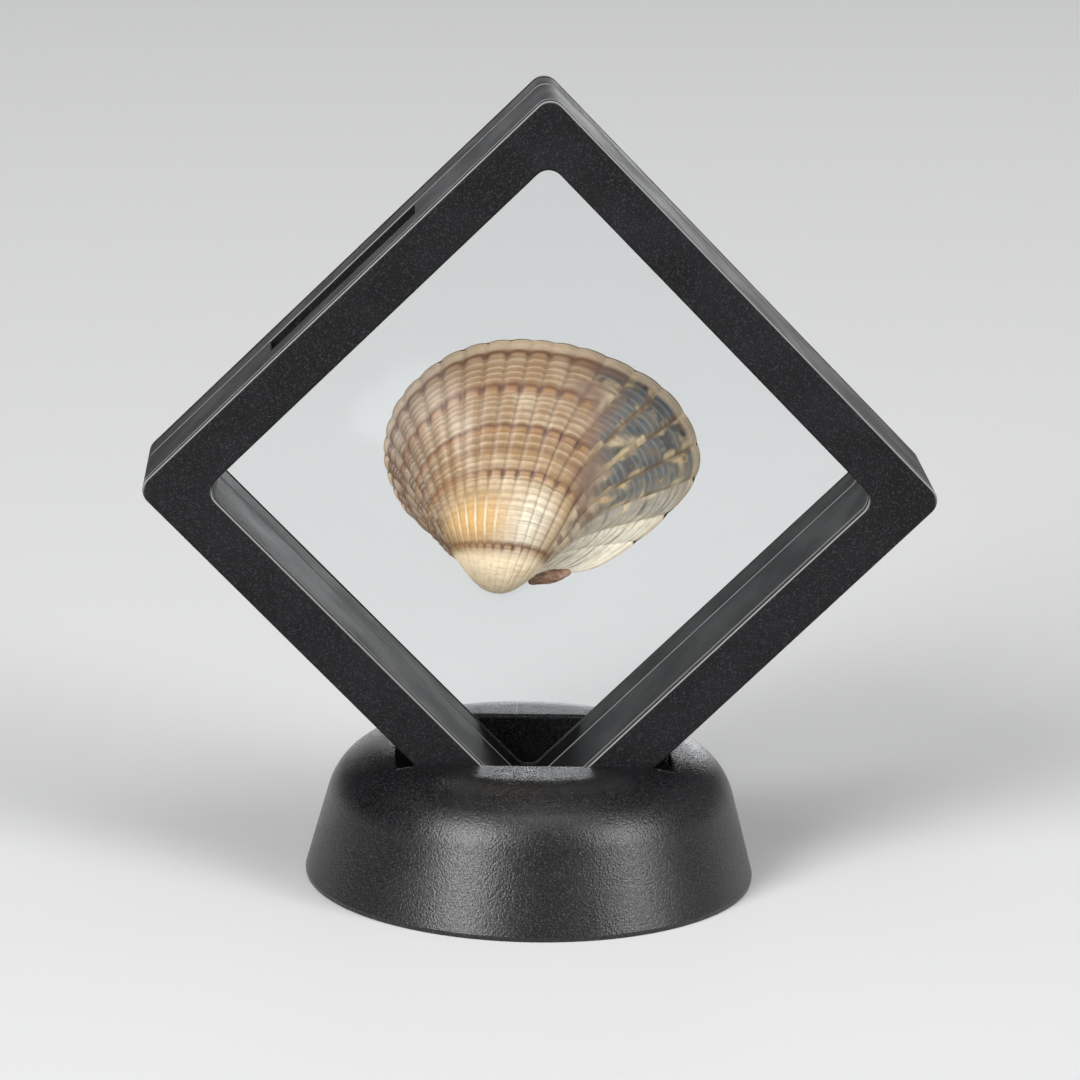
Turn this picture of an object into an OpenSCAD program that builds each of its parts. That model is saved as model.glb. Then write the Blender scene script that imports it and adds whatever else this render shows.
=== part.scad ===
// Floating display case for a seashell: two square frame halves, each with a clear
// elastic film, close like a clamshell on the shell and stand on one corner in the
// slot of a round stand. Millimetres. The origin is under the middle of the stand,
// +Z is up and the front of the case faces -Y.

/* [Case] */
// Outside length of each side of the square case
case_side = 70; // [66:0.5:80]
// Width of the rails around the window
rail_w = 6; // [5.6:0.1:7]
// Depth of the front half
front_depth = 14; // [13:0.1:16]
// Depth of the rear half
rear_depth = 7; // [6.8:0.1:9]
// Gap between the two closed halves
seam_gap = 0.3; // [0.2:0.05:0.4]
// Thickness of the moulded walls and of each front face
case_wall = 1.4; // [1.2:0.1:1.6]
// Radius of the outer corners
corner_r = 2; // [1.8:0.1:4]
// Radius of the window's corners
window_r = 2; // [1:0.1:3]
// Thickness of the face plate in front of the fine groove around it
plate_t = 0.7; // [0.5:0.05:1]
// Width and depth of that fine groove
groove = 0.2; // [0.1:0.05:0.3]

/* [Finger notch] */
// Length of the notch for a fingernail
notch_len = 24.6; // [16:0.2:28]
// Reach of the notch from the seam into the front half
notch_reach = 7; // [4:0.1:9]
// Depth of the notch into the wall
notch_depth = 1.8; // [1:0.1:2]
// Thickness of the notch's own walls
notch_wall = 0.9; // [0.7:0.1:1]

/* [Hinge and snap tabs] */
// Distance from the case wall out to the hinge axis
hinge_out = 1; // [0.9:0.05:1.1]
// Outside diameter of the knuckles
knuckle_d = 2.4; // [2.2:0.1:2.6]
// Length of one knuckle
knuckle_len = 3.7; // [3:0.1:3.8]
// Diameter of the hinge pin
pin_d = 1; // [0.8:0.05:1.2]
// Radial clearance of the pin in the knuckles
pin_clearance = 0.05; // [0.02:0.01:0.1]
// Running gap around and between the knuckles
hinge_gap = 0.3; // [0.25:0.05:0.35]
// Length of one snap tab
tab_len = 5; // [3:0.5:6]
// Thickness of a snap tab
tab_t = 0.9; // [0.7:0.1:1]
// Reach of a snap tab past the seam
tab_reach = 3; // [2:0.1:4]
// Height of the bead on a snap tab
tab_bead = 0.2; // [0.1:0.05:0.2]
// Gap between a snap tab and the wall in front of it
tab_gap = 0.5; // [0.4:0.05:0.6]

/* [Films] */
// Thickness of the elastic films
film_t = 0.15; // [0.1:0.01:0.2]
// Width of the rings that hold the films
ring_w = 1.4; // [1.2:0.1:1.5]
// Thickness of those rings
ring_t = 1.6; // [1:0.1:2]
// Gap between a ring and the inner wall
ring_gap = 0.1; // [0.05:0.05:0.2]
// Clearance between the films and the shell
film_clearance = 0.45; // [0.4:0.05:0.5]

/* [Seashell] */
// Swell of one valve from the plane where the valves meet
valve_swell = 7.7; // [7:0.1:8]
// How fast a valve curls in as it grows
coil = 1.2; // [1.1:0.02:1.3]
// How much narrower the rear of the young shell was, as a share
narrowing = 0.3; // [0:0.05:0.35]
// Thickness of the valves
valve_t = 1.2; // [0.8:0.1:1.5]
// Gap between the two valves where they meet
valve_gap = 0.1; // [0.05:0.05:0.2]
// Distance that the valves' meeting plane lies in front of the seam
valves_forward = 2; // [1.6:0.1:2.4]
// Length of the ligament
ligament_len = 5; // [4:0.1:6]
// Diameter of the ligament
ligament_d = 1.7; // [1.5:0.1:2]
// Gap between the ligament and the valves
ligament_gap = 0.15; // [0.15:0.05:0.3]

/* [Stand] */
// Diameter of the stand at the table
stand_d = 56.6; // [52:0.2:70]
// Height of the stand
stand_h = 17.2; // [16:0.1:19]
// Slant of the stand's side from the vertical, in degrees
stand_slant = 15; // [10:1:20]
// Radius of the stand's round shoulder
shoulder_r = 8.8; // [6:0.1:10]
// Height of the upright band at the foot
foot_h = 0.6; // [0.4:0.1:1.5]
// Wall thickness of the stand
stand_wall = 2; // [1.6:0.1:2.5]
// Length of the slot at the top
slot_len = 34; // [33:0.5:36]
// Height at which the slot's ends start to flare
flare_z = 13; // [11:0.1:14]
// Gap between the case and the slot's front wall
slot_front_gap = 0.3; // [0.3:0.05:0.6]
// Gap behind the case, which the rear half needs as it swings open
slot_rear_gap = 1.3; // [1.2:0.05:2]
// Gap between the case's lower sides and the slot's seat
seat_gap = 0.3; // [0.25:0.05:0.5]
// Height of the slot's floor above the table
floor_z = 2.5; // [2.2:0.1:3.2]
// Thickness of the walls round the slot
pocket_wall = 1.4; // [1.2:0.1:2]

/* [Hidden] */
$fn = 64;
eps = 0.01;

black_plastic = [0.08, 0.08, 0.085];
clear_film = [0.85, 0.92, 0.95, 0.3];
shell_cream = [0.86, 0.76, 0.62];
ligament_brown = [0.42, 0.27, 0.2];
steel = [0.7, 0.7, 0.72];

// Depths along Y. The two halves together stand midway over the stand.
case_depth = front_depth + rear_depth;
front_face_y = -case_depth / 2;
rear_face_y = case_depth / 2;
seam_y = front_face_y + front_depth;
front_mouth_y = seam_y - seam_gap / 2;
rear_mouth_y = seam_y + seam_gap / 2;
valves_y = seam_y - valves_forward;

// Plan of the case, square to its own sides
window_side = case_side - 2 * rail_w;
half = case_side / 2;
window_half = window_side / 2;
ring_in = window_half + case_wall + ring_gap;
ring_out = ring_in + ring_w;

// The case stands on its corner, whose round tip hangs just over the slot's floor.
tip_drop = half * sqrt(2) - corner_r * (sqrt(2) - 1);
case_z = floor_z + seat_gap + tip_drop;

// Hinge, on the lower right side
hinge_x = half + hinge_out;
knuckle_pitch = knuckle_len + hinge_gap;
hinge_len = 4 * knuckle_pitch + knuckle_len;
web_reach = knuckle_d / 2 + 1;

// Snap tabs, beside the notch
tab_x = half - case_wall - tab_gap - tab_t;
tab_z = notch_len / 2 + notch_wall + 1 + tab_len / 2;

// Outline of the shell in the plane where the valves meet, from the case's middle
shell_outline = [
    [-19.2, 2.5], [-17.4, 9.1], [-11.9, 14.6], [-5, 16.9], [3.4, 16.5], [10.2, 14.3],
    [16.1, 10.5], [19.6, 5], [19.8, -0.2], [15.6, -5.9], [9, -11.2], [4.4, -12.7],
    [-1, -12.6], [-6.3, -12], [-10.2, -11], [-12.8, -8.4], [-17.2, -3.8],
];
outline_steps = 3;

// The ligament hangs below this point of the margin
ligament_root = [2.6, -13];
ligament_tilt = 10;

// The valves turn about the hinge line through the beak as they grow
beak = [-4.9, -12];
hinge_tilt = -7;
hinge_line = [cos(hinge_tilt), sin(hinge_tilt)];
from_hinge = [-sin(hinge_tilt), cos(hinge_tilt)];

// Share of its growth at which a valve's first ring lies, and the number of rings after it.
// The last hollow_rings of them are hollow.
youngest = 0.1;
valve_rings = 13;
hollow_rings = 6;

// Least reach from the hinge line that turns, so that the hinge side isn't flat
least_turned = 0.5;

// The rear widened until the shell had this share of its growth, and all the rear that lies
// this far along the hinge line did so in full
narrow_until = 0.55;
rear_starts = 12;

// Films: points on each side of the window, and rings from the crest out, as shares. The
// crest is flat for the distance crest_flat.
film_side_points = 12;
film_rings = [0.06, 0.12, 0.18, 0.24, 0.3, 0.37, 0.45, 0.54, 0.66, 0.8, 1];
window_inset = 0.2;
crest_flat = 1;
film_spread = 1.05;

// ---- Small functions ----

function mix(a, b, t) = a * (1 - t) + b * t;
function clamp01(t) = min(1, max(0, t));
function smooth(t) = clamp01(t) * clamp01(t) * (3 - 2 * clamp01(t));
function cross2(a, b) = a[0] * b[1] - a[1] * b[0];
function degrees(radians) = radians * 180 / PI;

// A point of the smooth closed curve through the points p, t of the way from p[i] to the next
function curve_point(p, i, t) =
    let (n = len(p), a = p[(i + n - 1) % n], b = p[i], c = p[(i + 1) % n], d = p[(i + 2) % n])
    0.5 * (2 * b + (c - a) * t + (2 * a - 5 * b + 4 * c - d) * t * t
        + (3 * b - a - 3 * c + d) * t * t * t);

margin = [for (i = [0:len(shell_outline) - 1], k = [0:outline_steps - 1])
    curve_point(shell_outline, i, k / outline_steps)];

// The valve's greatest height over its margin's reach from the hinge line
fullness = exp(-atan(coil) / degrees(coil)) * sin(atan(coil));
margin_reach = max([for (m = margin) (m - beak) * from_hinge]);

// Where the margin point m lay when the shell had grown to the share s: across, height, up.
// Every young margin is a smaller copy of the last one, turned about the hinge line.
function grown(m, s) =
    let (side = (m - beak) * hinge_line, out = (m - beak) * from_hinge,
        turned = max(out, least_turned), turn = degrees(coil * ln(1 / s)),
        narrow = 1 - narrowing * smooth((1 - s) / (1 - narrow_until)) * smooth(side / rear_starts),
        p = beak + hinge_line * s * side * narrow
            + from_hinge * s * (out - turned + turned * cos(turn)))
    [p[0], valve_swell / (margin_reach * fullness) * s * turned * sin(turn), p[1]];

// Rings of a valve's outside, from the youngest to the margin
valve_grid = [for (k = [valve_rings:-1:0])
    let (s = pow(youngest, k / valve_rings)) [for (m = margin) grown(m, s)]];
crest_height = max([for (ring = valve_grid, p = ring) p[1]]);
crest = [for (ring = valve_grid, p = ring) if (p[1] == crest_height) [p[0], p[2]]][0];

// Direction and middle of the ligament
ligament_along = [cos(ligament_tilt), sin(ligament_tilt)];
ligament_out = [sin(ligament_tilt), -cos(ligament_tilt)];
ligament_middle = ligament_root + ligament_out * (ligament_d / 2 + ligament_gap);

// Outline of the ligament, at the height of its round front
ligament_ring = [for (a = [0:20:340]) let (p = ligament_middle
    + ligament_along * cos(a) * ligament_len / 2 + ligament_out * sin(a) * ligament_d / 2)
    [p[0], ligament_d / 2, p[1]]];

// ---- Shared shapes ----

module case_place() {
    translate([0, 0, case_z]) rotate([0, 45, 0]) children();
}

module slab(y0, y1) {
    translate([0, y1, 0]) rotate([90, 0, 0]) linear_extrude(y1 - y0) children();
}

module rounded_square(side, r) {
    square([side - 2 * r, side], center = true);
    square([side, side - 2 * r], center = true);
    for (x = [-1, 1], y = [-1, 1]) translate([x, y] * (side / 2 - r)) circle(r);
}

module square_ring(inner_half, outer_half, inner_r, outer_r) {
    difference() {
        rounded_square(2 * outer_half, outer_r);
        rounded_square(2 * inner_half, inner_r);
    }
}

// One moulded half: a face with an outer and an inner wall, open towards the seam.
// The inner wall stops short of the mouth by the film's thickness.
module case_half(face_y, mouth_y) {
    toward = sign(mouth_y - face_y);
    face_in = face_y + toward * case_wall;
    film_y = mouth_y - toward * film_t;
    groove_0 = face_y + toward * plate_t;
    groove_1 = groove_0 + toward * groove;
    difference() {
        slab(min(face_y, mouth_y), max(face_y, mouth_y))
            square_ring(window_half, half, window_r, corner_r);
        slab(min(face_in, mouth_y + toward), max(face_in, mouth_y + toward))
            square_ring(window_half + case_wall, half - case_wall,
                window_r + case_wall, corner_r - case_wall);
        slab(min(film_y, mouth_y + toward), max(film_y, mouth_y + toward))
            square_ring(window_half - 1, half - case_wall, window_r, corner_r - case_wall);
        slab(min(groove_0, groove_1), max(groove_0, groove_1)) {
            square_ring(half - groove, half + 1, corner_r - groove, corner_r);
            square_ring(window_half - 1, window_half + groove, window_r, window_r + groove);
        }
    }
}

// Knuckles number first, first + 2, ... of the five, each with a web to the wall on one side
module knuckles(first, side) {
    for (i = [first:2:4]) translate([hinge_x, seam_y, (i - 2) * knuckle_pitch]) {
        cylinder(d = knuckle_d, h = knuckle_len, center = true);
        translate([-hinge_out - case_wall / 2, side > 0 ? seam_gap / 2 : -web_reach,
                -knuckle_len / 2])
            cube([hinge_out + case_wall / 2, web_reach - seam_gap / 2, knuckle_len]);
    }
}

module knuckle_relief(first) {
    for (i = [first:2:4]) translate([hinge_x, seam_y, (i - 2) * knuckle_pitch])
        cylinder(d = knuckle_d + 2 * hinge_gap, h = knuckle_len + 2 * hinge_gap, center = true);
}

module pin_bore() {
    translate([hinge_x, seam_y, 0])
        cylinder(d = pin_d + 2 * pin_clearance, h = hinge_len + 2, center = true);
}

// A film that lies flat on the inner wall, rises to the shell and follows it.
// toward is -1 for the front film and 1 for the rear one.
module stretched_film(flat_y, toward) {
    drop = toward * (flat_y - valves_y) - valve_gap / 2 - film_clearance - film_t;
    n = 4 * film_side_points;
    edge_points = [for (i = [0:n - 1]) on_square(ring_out, window_r, i)];
    points = concat(
        [[crest[0], flat_y + toward * (crest_height - drop), crest[1]]],
        [for (k = film_rings, i = [0:n - 1])
            let (w = window_points[i], p = mix(crest, w, k), r = norm(w - crest))
            [p[0], flat_y + toward * film_height(film_cuts[i], r * k, r, drop), p[1]]],
        [for (p = edge_points) [p[0], flat_y, p[1]]]);
    two_skins(points, [for (p = points) p - [0, toward * film_t, 0]], n, toward);
}

// Point i on the outline of a square turned onto its corner, with the corners cut round
function on_square(h, r, i) =
    let (side = floor(i / film_side_points), t = (i % film_side_points) / film_side_points,
        cut = t == 0 ? r * (1 - sqrt(0.5)) : 0,
        p = [-h + cut, mix(-h, h, t) + cut], a = 45 + 90 * side)
    [p[0] * cos(a) + p[1] * sin(a), p[1] * cos(a) - p[0] * sin(a)];

window_points = [for (i = [0:4 * film_side_points - 1])
    on_square(window_half - window_inset, window_r, i)];

// What the film lies over: the valve's rings, lines across them, and the ligament's outline
obstacle_loops = concat(valve_grid, [ligament_ring],
    [for (i = [0:outline_steps:len(margin) - 1]) [for (ring = valve_grid) ring[i]]]);

// Distance and height of each place where the loop, made a little wider so that the film
// clears it sideways too, crosses the line from the crest to w
function loop_cuts(loop, w) = [for (i = [0:len(loop) - 1])
    let (p = loop[i], q = loop[(i + 1) % len(loop)], dir = (w - crest) / norm(w - crest),
        a = [p[0], p[2]] - crest, e = [q[0] - p[0], q[2] - p[2]], den = cross2(dir, e),
        t = cross2(a, e) / den * film_spread, u = cross2(a, dir) / den)
    if (abs(den) > 1e-9 && u >= 0 && u <= 1 && t > 0) [max(t, crest_flat), mix(p[1], q[1], u)]];

film_cuts = [for (w = window_points) concat([[crest_flat, crest_height]],
    [for (loop = obstacle_loops) each loop_cuts(loop, w)])];

// Height at distance r of a film stretched over the cuts and held at the window's edge. A
// thin membrane that spreads from a round crest falls off with the logarithm of distance.
function film_height(cuts, r, edge, drop) =
    let (held = concat([for (c = cuts) c - [0, drop]], [[edge, 0]]))
    max([for (a = held, b = held) if (a[0] <= r + eps && b[0] >= r - eps)
        b[0] - a[0] < 3 * eps ? a[1] : mix(a[1], b[1], ln(r / a[0]) / ln(b[0] / a[0]))]);

// Triangles of a skin: its centre point is number first, then come rings of n points
function skin_faces(first, rings, n) =
    let (at = function (k, i) first + 1 + k * n + i % n)
    concat(
        [for (i = [0:n - 1]) [first, at(0, i), at(0, i + 1)]],
        [for (k = [0:rings - 2], i = [0:n - 1])
            each [[at(k, i), at(k + 1, i), at(k + 1, i + 1)],
                [at(k, i), at(k + 1, i + 1), at(k, i + 1)]]]);

// A solid between two skins, which join along their last rings
module two_skins(outside, inside, n, toward) {
    m = len(outside);
    last = m + len(inside) - n;
    rim = [for (i = [0:n - 1]) let (j = (i + 1) % n)
        each [[m - n + i, last + i, last + j], [m - n + i, last + j, m - n + j]]];
    faces = concat(
        skin_faces(0, (m - 1) / n, n),
        [for (f = skin_faces(m, (len(inside) - 1) / n, n)) [f[0], f[2], f[1]]],
        rim);
    polyhedron(concat(outside, inside), toward > 0 ? [for (f = faces) [f[0], f[2], f[1]]] : faces);
}

// A hollow valve, closed at its beak and open at its margin
module valve(toward) {
    y0 = valves_y + toward * valve_gap / 2;
    half_width = max([for (m = margin) abs(m[0])]);
    across = 1 - valve_t / half_width;
    through = 1 - valve_t / valve_swell;
    hollow = [for (k = [valve_rings - hollow_rings:valve_rings]) [for (p = valve_grid[k])
        [mix(crest[0], p[0], across), p[1] * through, mix(crest[1], p[2], across)]]];
    skin = function (rings) [for (p = concat([middle_of(rings[0])], [for (ring = rings) each ring]))
        [p[0], y0 + toward * p[1], p[2]]];
    translate([0, 0, case_z]) two_skins(skin(valve_grid), skin(hollow), len(margin), toward);
}

function middle_of(ring) = [for (k = [0:2])
    let (values = [for (p = ring) p[k]]) (min(values) + max(values)) / 2];

// Profile of the stand, each wall moved in by inset
module stand_profile(inset) {
    top = stand_h - inset;
    r = shoulder_r - inset;
    zc = top - r;
    foot = stand_d / 2 - inset;
    rc = foot - (zc - foot_h) * tan(stand_slant) - r / cos(stand_slant);
    polygon(concat(
        [[0, 0], [foot, 0], [foot, foot_h]],
        [for (a = [stand_slant:(90 - stand_slant) / 12:90.001]) [rc + r * cos(a), zc + r * sin(a)]],
        [[0, top]]));
}

// Front view of the slot: a seat that fits the case's corner, with a flared mouth.
// grow moves its walls outwards.
module slot_outline(grow) {
    tip = case_z - half * sqrt(2) - (seat_gap + grow) * sqrt(2);
    low = floor_z - grow;
    high = stand_h + 1;
    mouth = slot_len / 2 + grow;
    flare = flare_z - tip;
    polygon([
        [-(low - tip), low], [low - tip, low], [flare, flare_z], [mouth, stand_h], [mouth, high],
        [-mouth, high], [-mouth, stand_h], [-flare, flare_z],
    ]);
}

// ---- Sub-parts ----

module stand() color(black_plastic) {
    slot_y0 = front_face_y - slot_front_gap;
    slot_y1 = rear_face_y + slot_rear_gap;
    difference() {
        union() {
            difference() {
                rotate_extrude($fn = 128) stand_profile(0);
                translate([0, 0, -eps]) rotate_extrude($fn = 128) stand_profile(stand_wall);
            }
            intersection() {
                slab(slot_y0 - pocket_wall, slot_y1 + pocket_wall) slot_outline(pocket_wall);
                translate([0, 0, -eps]) rotate_extrude($fn = 128) stand_profile(stand_wall / 2);
            }
        }
        slab(slot_y0, slot_y1) slot_outline(0);
    }
}

module front_frame() color(black_plastic) case_place() difference() {
    union() {
        difference() {
            case_half(front_face_y, front_mouth_y);
            knuckle_relief(1);
        }
        knuckles(0, -1);
        notch_block(notch_wall, front_mouth_y - film_t);
    }
    notch_block(0, front_mouth_y + 1);
    pin_bore();
}

// The finger notch in the left wall, with its own walls where grow is more than 0
module notch_block(grow, mouth_y) {
    y0 = front_mouth_y - notch_reach - grow;
    len = notch_len + 2 * grow;
    out = grow > 0 ? -case_wall / 2 : 1;
    translate([-half - out, y0, -len / 2])
        cube([notch_depth + grow + out, mouth_y - y0, len]);
}

module rear_frame() color(black_plastic) case_place() difference() {
    union() {
        difference() {
            case_half(rear_face_y, rear_mouth_y);
            knuckle_relief(0);
        }
        knuckles(1, 1);
        for (z = [-1, 1]) translate([0, 0, z * tab_z]) snap_tab();
    }
    pin_bore();
}

// A tongue that reaches from the rear half into the front half's channel, with a bead
module snap_tab() {
    bead_y = front_mouth_y - tab_reach + 2 * tab_bead;
    translate([-tab_x - tab_t, front_mouth_y - tab_reach, -tab_len / 2])
        cube([tab_t, rear_face_y - case_wall / 2 - front_mouth_y + tab_reach, tab_len]);
    translate([-tab_x - tab_t, bead_y, 0])
        cylinder(r = tab_bead, h = tab_len, center = true);
}

module hinge_pin() color(steel) case_place() translate([hinge_x, seam_y, 0])
    cylinder(d = pin_d, h = hinge_len, center = true);

module film_ring(y0) slab(y0, y0 + ring_t)
    square_ring(ring_in, ring_out, window_r + case_wall, window_r + case_wall);

module front_film_ring() color(black_plastic) case_place() film_ring(front_mouth_y - film_t - ring_t);

module rear_film_ring() color(black_plastic) case_place() film_ring(rear_mouth_y + film_t);

module front_film() color(clear_film) translate([0, 0, case_z])
    stretched_film(front_mouth_y - film_t, -1);

module rear_film() color(clear_film) translate([0, 0, case_z])
    stretched_film(rear_mouth_y + film_t, 1);

module front_valve() color(shell_cream) valve(-1);

module rear_valve() color(shell_cream) valve(1);

// Horny band beside the beak, outside the margin of both valves
module ligament() color(ligament_brown) translate([0, valves_y, case_z]) {
    straight = ligament_len - ligament_d;
    translate([ligament_middle[0], 0, ligament_middle[1]])
        rotate([0, 90 - ligament_tilt, 0]) {
            cylinder(d = ligament_d, h = straight, center = true, $fn = 24);
            for (z = [-1, 1]) translate([0, 0, z * straight / 2]) sphere(d = ligament_d, $fn = 24);
        }
}

stand();
front_frame();
rear_frame();
hinge_pin();
front_film_ring();
rear_film_ring();
front_film();
rear_film();
front_valve();
rear_valve();
ligament();
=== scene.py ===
"""Floating display case for a seashell, as a Blender add-on that is run as a script.

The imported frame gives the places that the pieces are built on. Each group of like pieces
has its own operator, and the sizes and colours that a user would change are in the
property groups. Metres, +Z up.
"""
import math

import bmesh
import bpy
import numpy as np
from mathutils import Matrix, Vector
from mathutils.bvhtree import BVHTree


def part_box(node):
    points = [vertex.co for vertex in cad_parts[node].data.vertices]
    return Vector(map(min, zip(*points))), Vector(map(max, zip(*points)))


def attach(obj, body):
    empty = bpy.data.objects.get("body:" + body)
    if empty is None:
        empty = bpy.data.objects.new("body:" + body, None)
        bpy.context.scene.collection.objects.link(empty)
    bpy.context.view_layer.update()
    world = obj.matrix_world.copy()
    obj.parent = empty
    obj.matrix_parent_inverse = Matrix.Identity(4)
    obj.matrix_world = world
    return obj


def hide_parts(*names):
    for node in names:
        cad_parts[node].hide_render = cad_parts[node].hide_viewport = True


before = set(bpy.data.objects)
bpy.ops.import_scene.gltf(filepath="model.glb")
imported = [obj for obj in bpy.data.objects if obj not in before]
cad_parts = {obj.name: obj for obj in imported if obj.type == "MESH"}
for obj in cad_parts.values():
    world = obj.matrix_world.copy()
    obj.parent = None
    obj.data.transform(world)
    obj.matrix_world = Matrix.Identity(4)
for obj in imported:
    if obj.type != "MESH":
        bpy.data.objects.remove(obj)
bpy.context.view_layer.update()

bl_info = {
    "name": "Seashell display case",
    "version": (1, 0, 0),
    "blender": (4, 5, 0),
    "location": "3D View > Sidebar > Shell case",
    "description": "Builds the finish of a floating display case with a cockle shell",
    "category": "Object",
}

MM = 0.001
HALF_ROOT = math.sqrt(0.5)


# ---- Places that the frame gives ----

def case_centre_height():
    """Height of the middle of the case above the table."""
    low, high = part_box("front_frame")
    return (low.z + high.z) / 2


def seam_place():
    """Place of the seam along Y, which is where the middle of the hinge pin lies."""
    low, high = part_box("hinge_pin")
    return (low + high).y / 2


FRONT_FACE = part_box("front_frame")[0].y
REAR_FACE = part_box("rear_frame")[1].y
SEAM = seam_place()
CENTRE_HEIGHT = case_centre_height()
VALVES_PLANE = (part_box("front_valve")[1].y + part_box("rear_valve")[0].y) / 2


# ---- Sizes and colours that a user would change ----

def length(name, description, default):
    return bpy.props.FloatProperty(
        name=name, description=description, default=default, min=0, unit="LENGTH", precision=5)


def colour(name, description, default):
    return bpy.props.FloatVectorProperty(
        name=name, description=description, default=default, size=3, min=0, max=1, subtype="COLOR")


class CaseSizes(bpy.types.PropertyGroup):
    side: length("Side", "Outside length of each side of the case", 70 * MM)
    rail: length("Rail", "Width of the rails around the window", 6 * MM)
    wall: length("Wall", "Thickness of the moulded walls", 1.4 * MM)
    corner: length("Corner", "Radius of the outer corners", 2.02 * MM)
    window_corner: length("Window corner", "Radius of the window's corners", 2 * MM)
    seam_gap: length("Seam", "Gap between the two closed halves", 0.3 * MM)
    bead: length("Bead", "Radius of the rounded edges of the faces", 0.3 * MM)
    mouth_round: length("Mouth edge", "Radius of the edges at the seam", 0.22 * MM)
    plate: length("Plate", "Thickness of the face plate in front of the groove", 0.5 * MM)
    groove: length("Groove", "Depth of the fine groove round each face plate", 0.2 * MM)
    groove_width: length("Groove width", "Width of that fine groove", 1.1 * MM)
    film: length("Film", "Thickness of the elastic films", 0.15 * MM)
    notch: length("Notch", "Length of the finger notch", 24.6 * MM)
    notch_reach: length("Notch reach", "Reach of the notch into the front half", 7 * MM)
    notch_depth: length("Notch depth", "Depth of the notch into the wall", 1.8 * MM)
    notch_wall: length("Notch wall", "Thickness of the notch's own walls", 0.9 * MM)
    knuckle: length("Knuckle", "Length of one hinge knuckle", 3.7 * MM)
    knuckle_round: length("Knuckle diameter", "Diameter of the knuckles", 2.4 * MM)
    pin: length("Pin", "Diameter of the pin's bore", 1.1 * MM)
    hinge_out: length("Hinge", "Distance from the wall out to the hinge axis", 1 * MM)
    hinge_gap: length("Hinge gap", "Running gap around the knuckles", 0.3 * MM)
    tab: length("Tab", "Length of a snap tab", 5 * MM)
    tab_thick: length("Tab thickness", "Thickness of a snap tab", 0.9 * MM)
    tab_reach: length("Tab reach", "Reach of a snap tab past the seam", 3 * MM)
    tab_gap: length("Tab gap", "Gap between a snap tab and the wall", 0.5 * MM)
    plastic: colour("Plastic", "Colour of the black moulded plastic", (0.0075, 0.0075, 0.0085))


class StandSizes(bpy.types.PropertyGroup):
    diameter: length("Diameter", "Diameter at the table", 56.6 * MM)
    height: length("Height", "Height of the stand", 17.2 * MM)
    slant: bpy.props.FloatProperty(
        name="Slant", description="Slant of the side from the vertical",
        default=math.radians(15), subtype="ANGLE")
    shoulder: length("Shoulder", "Radius of the round shoulder", 8.8 * MM)
    foot: length("Foot", "Height of the upright band at the foot", 0.6 * MM)
    wall: length("Wall", "Wall thickness", 2 * MM)
    slot: length("Slot", "Length of the slot at the top", 34 * MM)
    flare: length("Flare", "Height at which the slot's ends start to flare", 13 * MM)
    front_gap: length("Front gap", "Gap between the case and the slot's front wall", 0.3 * MM)
    rear_gap: length("Rear gap", "Gap behind the case", 1.3 * MM)
    seat_gap: length("Seat gap", "Gap between the case and the slot's seat", 0.3 * MM)
    floor: length("Floor", "Height of the slot's floor", 2.5 * MM)
    pocket: length("Pocket wall", "Thickness of the walls round the slot", 1.4 * MM)
    lip: length("Lip", "Radius of the slot's rounded lip", 0.5 * MM)
    plastic: colour("Plastic", "Colour of the satin black plastic", (0.005, 0.005, 0.0056))


class ShellSizes(bpy.types.PropertyGroup):
    coil: bpy.props.FloatProperty(
        name="Coil", description="How fast the valve curls as it grows", default=1.2)
    swell: bpy.props.FloatProperty(
        name="Swell", description="Share of a full coil's height that the valve keeps", default=0.715)
    narrow: bpy.props.FloatProperty(
        name="Narrow", description="How much narrower the young shell's rear was", default=0.3)
    rib_height: length("Rib height", "Height of the ribs at the margin", 0.3 * MM)
    ridge_height: length("Ridge height", "Height of the growth ridges", 0.042 * MM)
    wall: length("Wall", "Thickness of the valve", 0.8 * MM)
    gap: length("Gap", "Gap between the two valves", 0.1 * MM)
    tan: colour("Tan", "Colour of the ribs near the margin", (0.27, 0.165, 0.082))
    cream: colour("Cream", "Colour of the ribs near the beak", (0.40, 0.25, 0.105))
    pale: colour("Pale", "Colour of the palest parts", (0.93, 0.85, 0.69))
    band: colour("Band", "Colour of the growth bands", (0.12, 0.045, 0.018))
    spot: colour("Spot", "Colour of the darkest spots", (0.095, 0.042, 0.026))
    slate: colour("Slate", "Blue-grey of the rear patches", (0.062, 0.078, 0.088))
    amber: colour("Amber", "Warm zone near the beak", (0.80, 0.47, 0.155))


class FilmSizes(bpy.types.PropertyGroup):
    thickness: length("Thickness", "Thickness of the elastic film", 0.15 * MM)
    clearance: length("Clearance", "Clearance between the film and the ribs", 0.1 * MM)
    shine: bpy.props.FloatProperty(
        name="Shine", description="Share of the mirror gloss that shows", default=0.12, min=0, max=1)


class StudioSizes(bpy.types.PropertyGroup):
    floor: colour("Floor", "Colour of the floor", (0.72, 0.72, 0.72))
    fill: bpy.props.FloatProperty(
        name="Fill", description="Strength of the even light from the front", default=0.15, min=0)
    scrim: bpy.props.FloatProperty(
        name="Scrim", description="Strength of the soft light from straight above", default=0.35)
    backdrop: bpy.props.FloatProperty(
        name="Backdrop", description="Strength of the light from behind the case", default=3.6)


# ---- Meshes ----

# Points this close are joined, edges over this angle stay sharp, and how much flat faces rule
WELD, SHARP_ANGLE, FLAT_WEIGHT = 0.002 * MM, math.radians(32), 80
SHARPEST = 0.02 * MM
ROD_ROUNDING = (0.4, 0.8, 1.2, 1.57)


def link(name, data):
    """A new object in the scene with this mesh, lamp or camera."""
    made = bpy.data.objects.new(name, data)
    bpy.context.scene.collection.objects.link(made)
    return made


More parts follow.
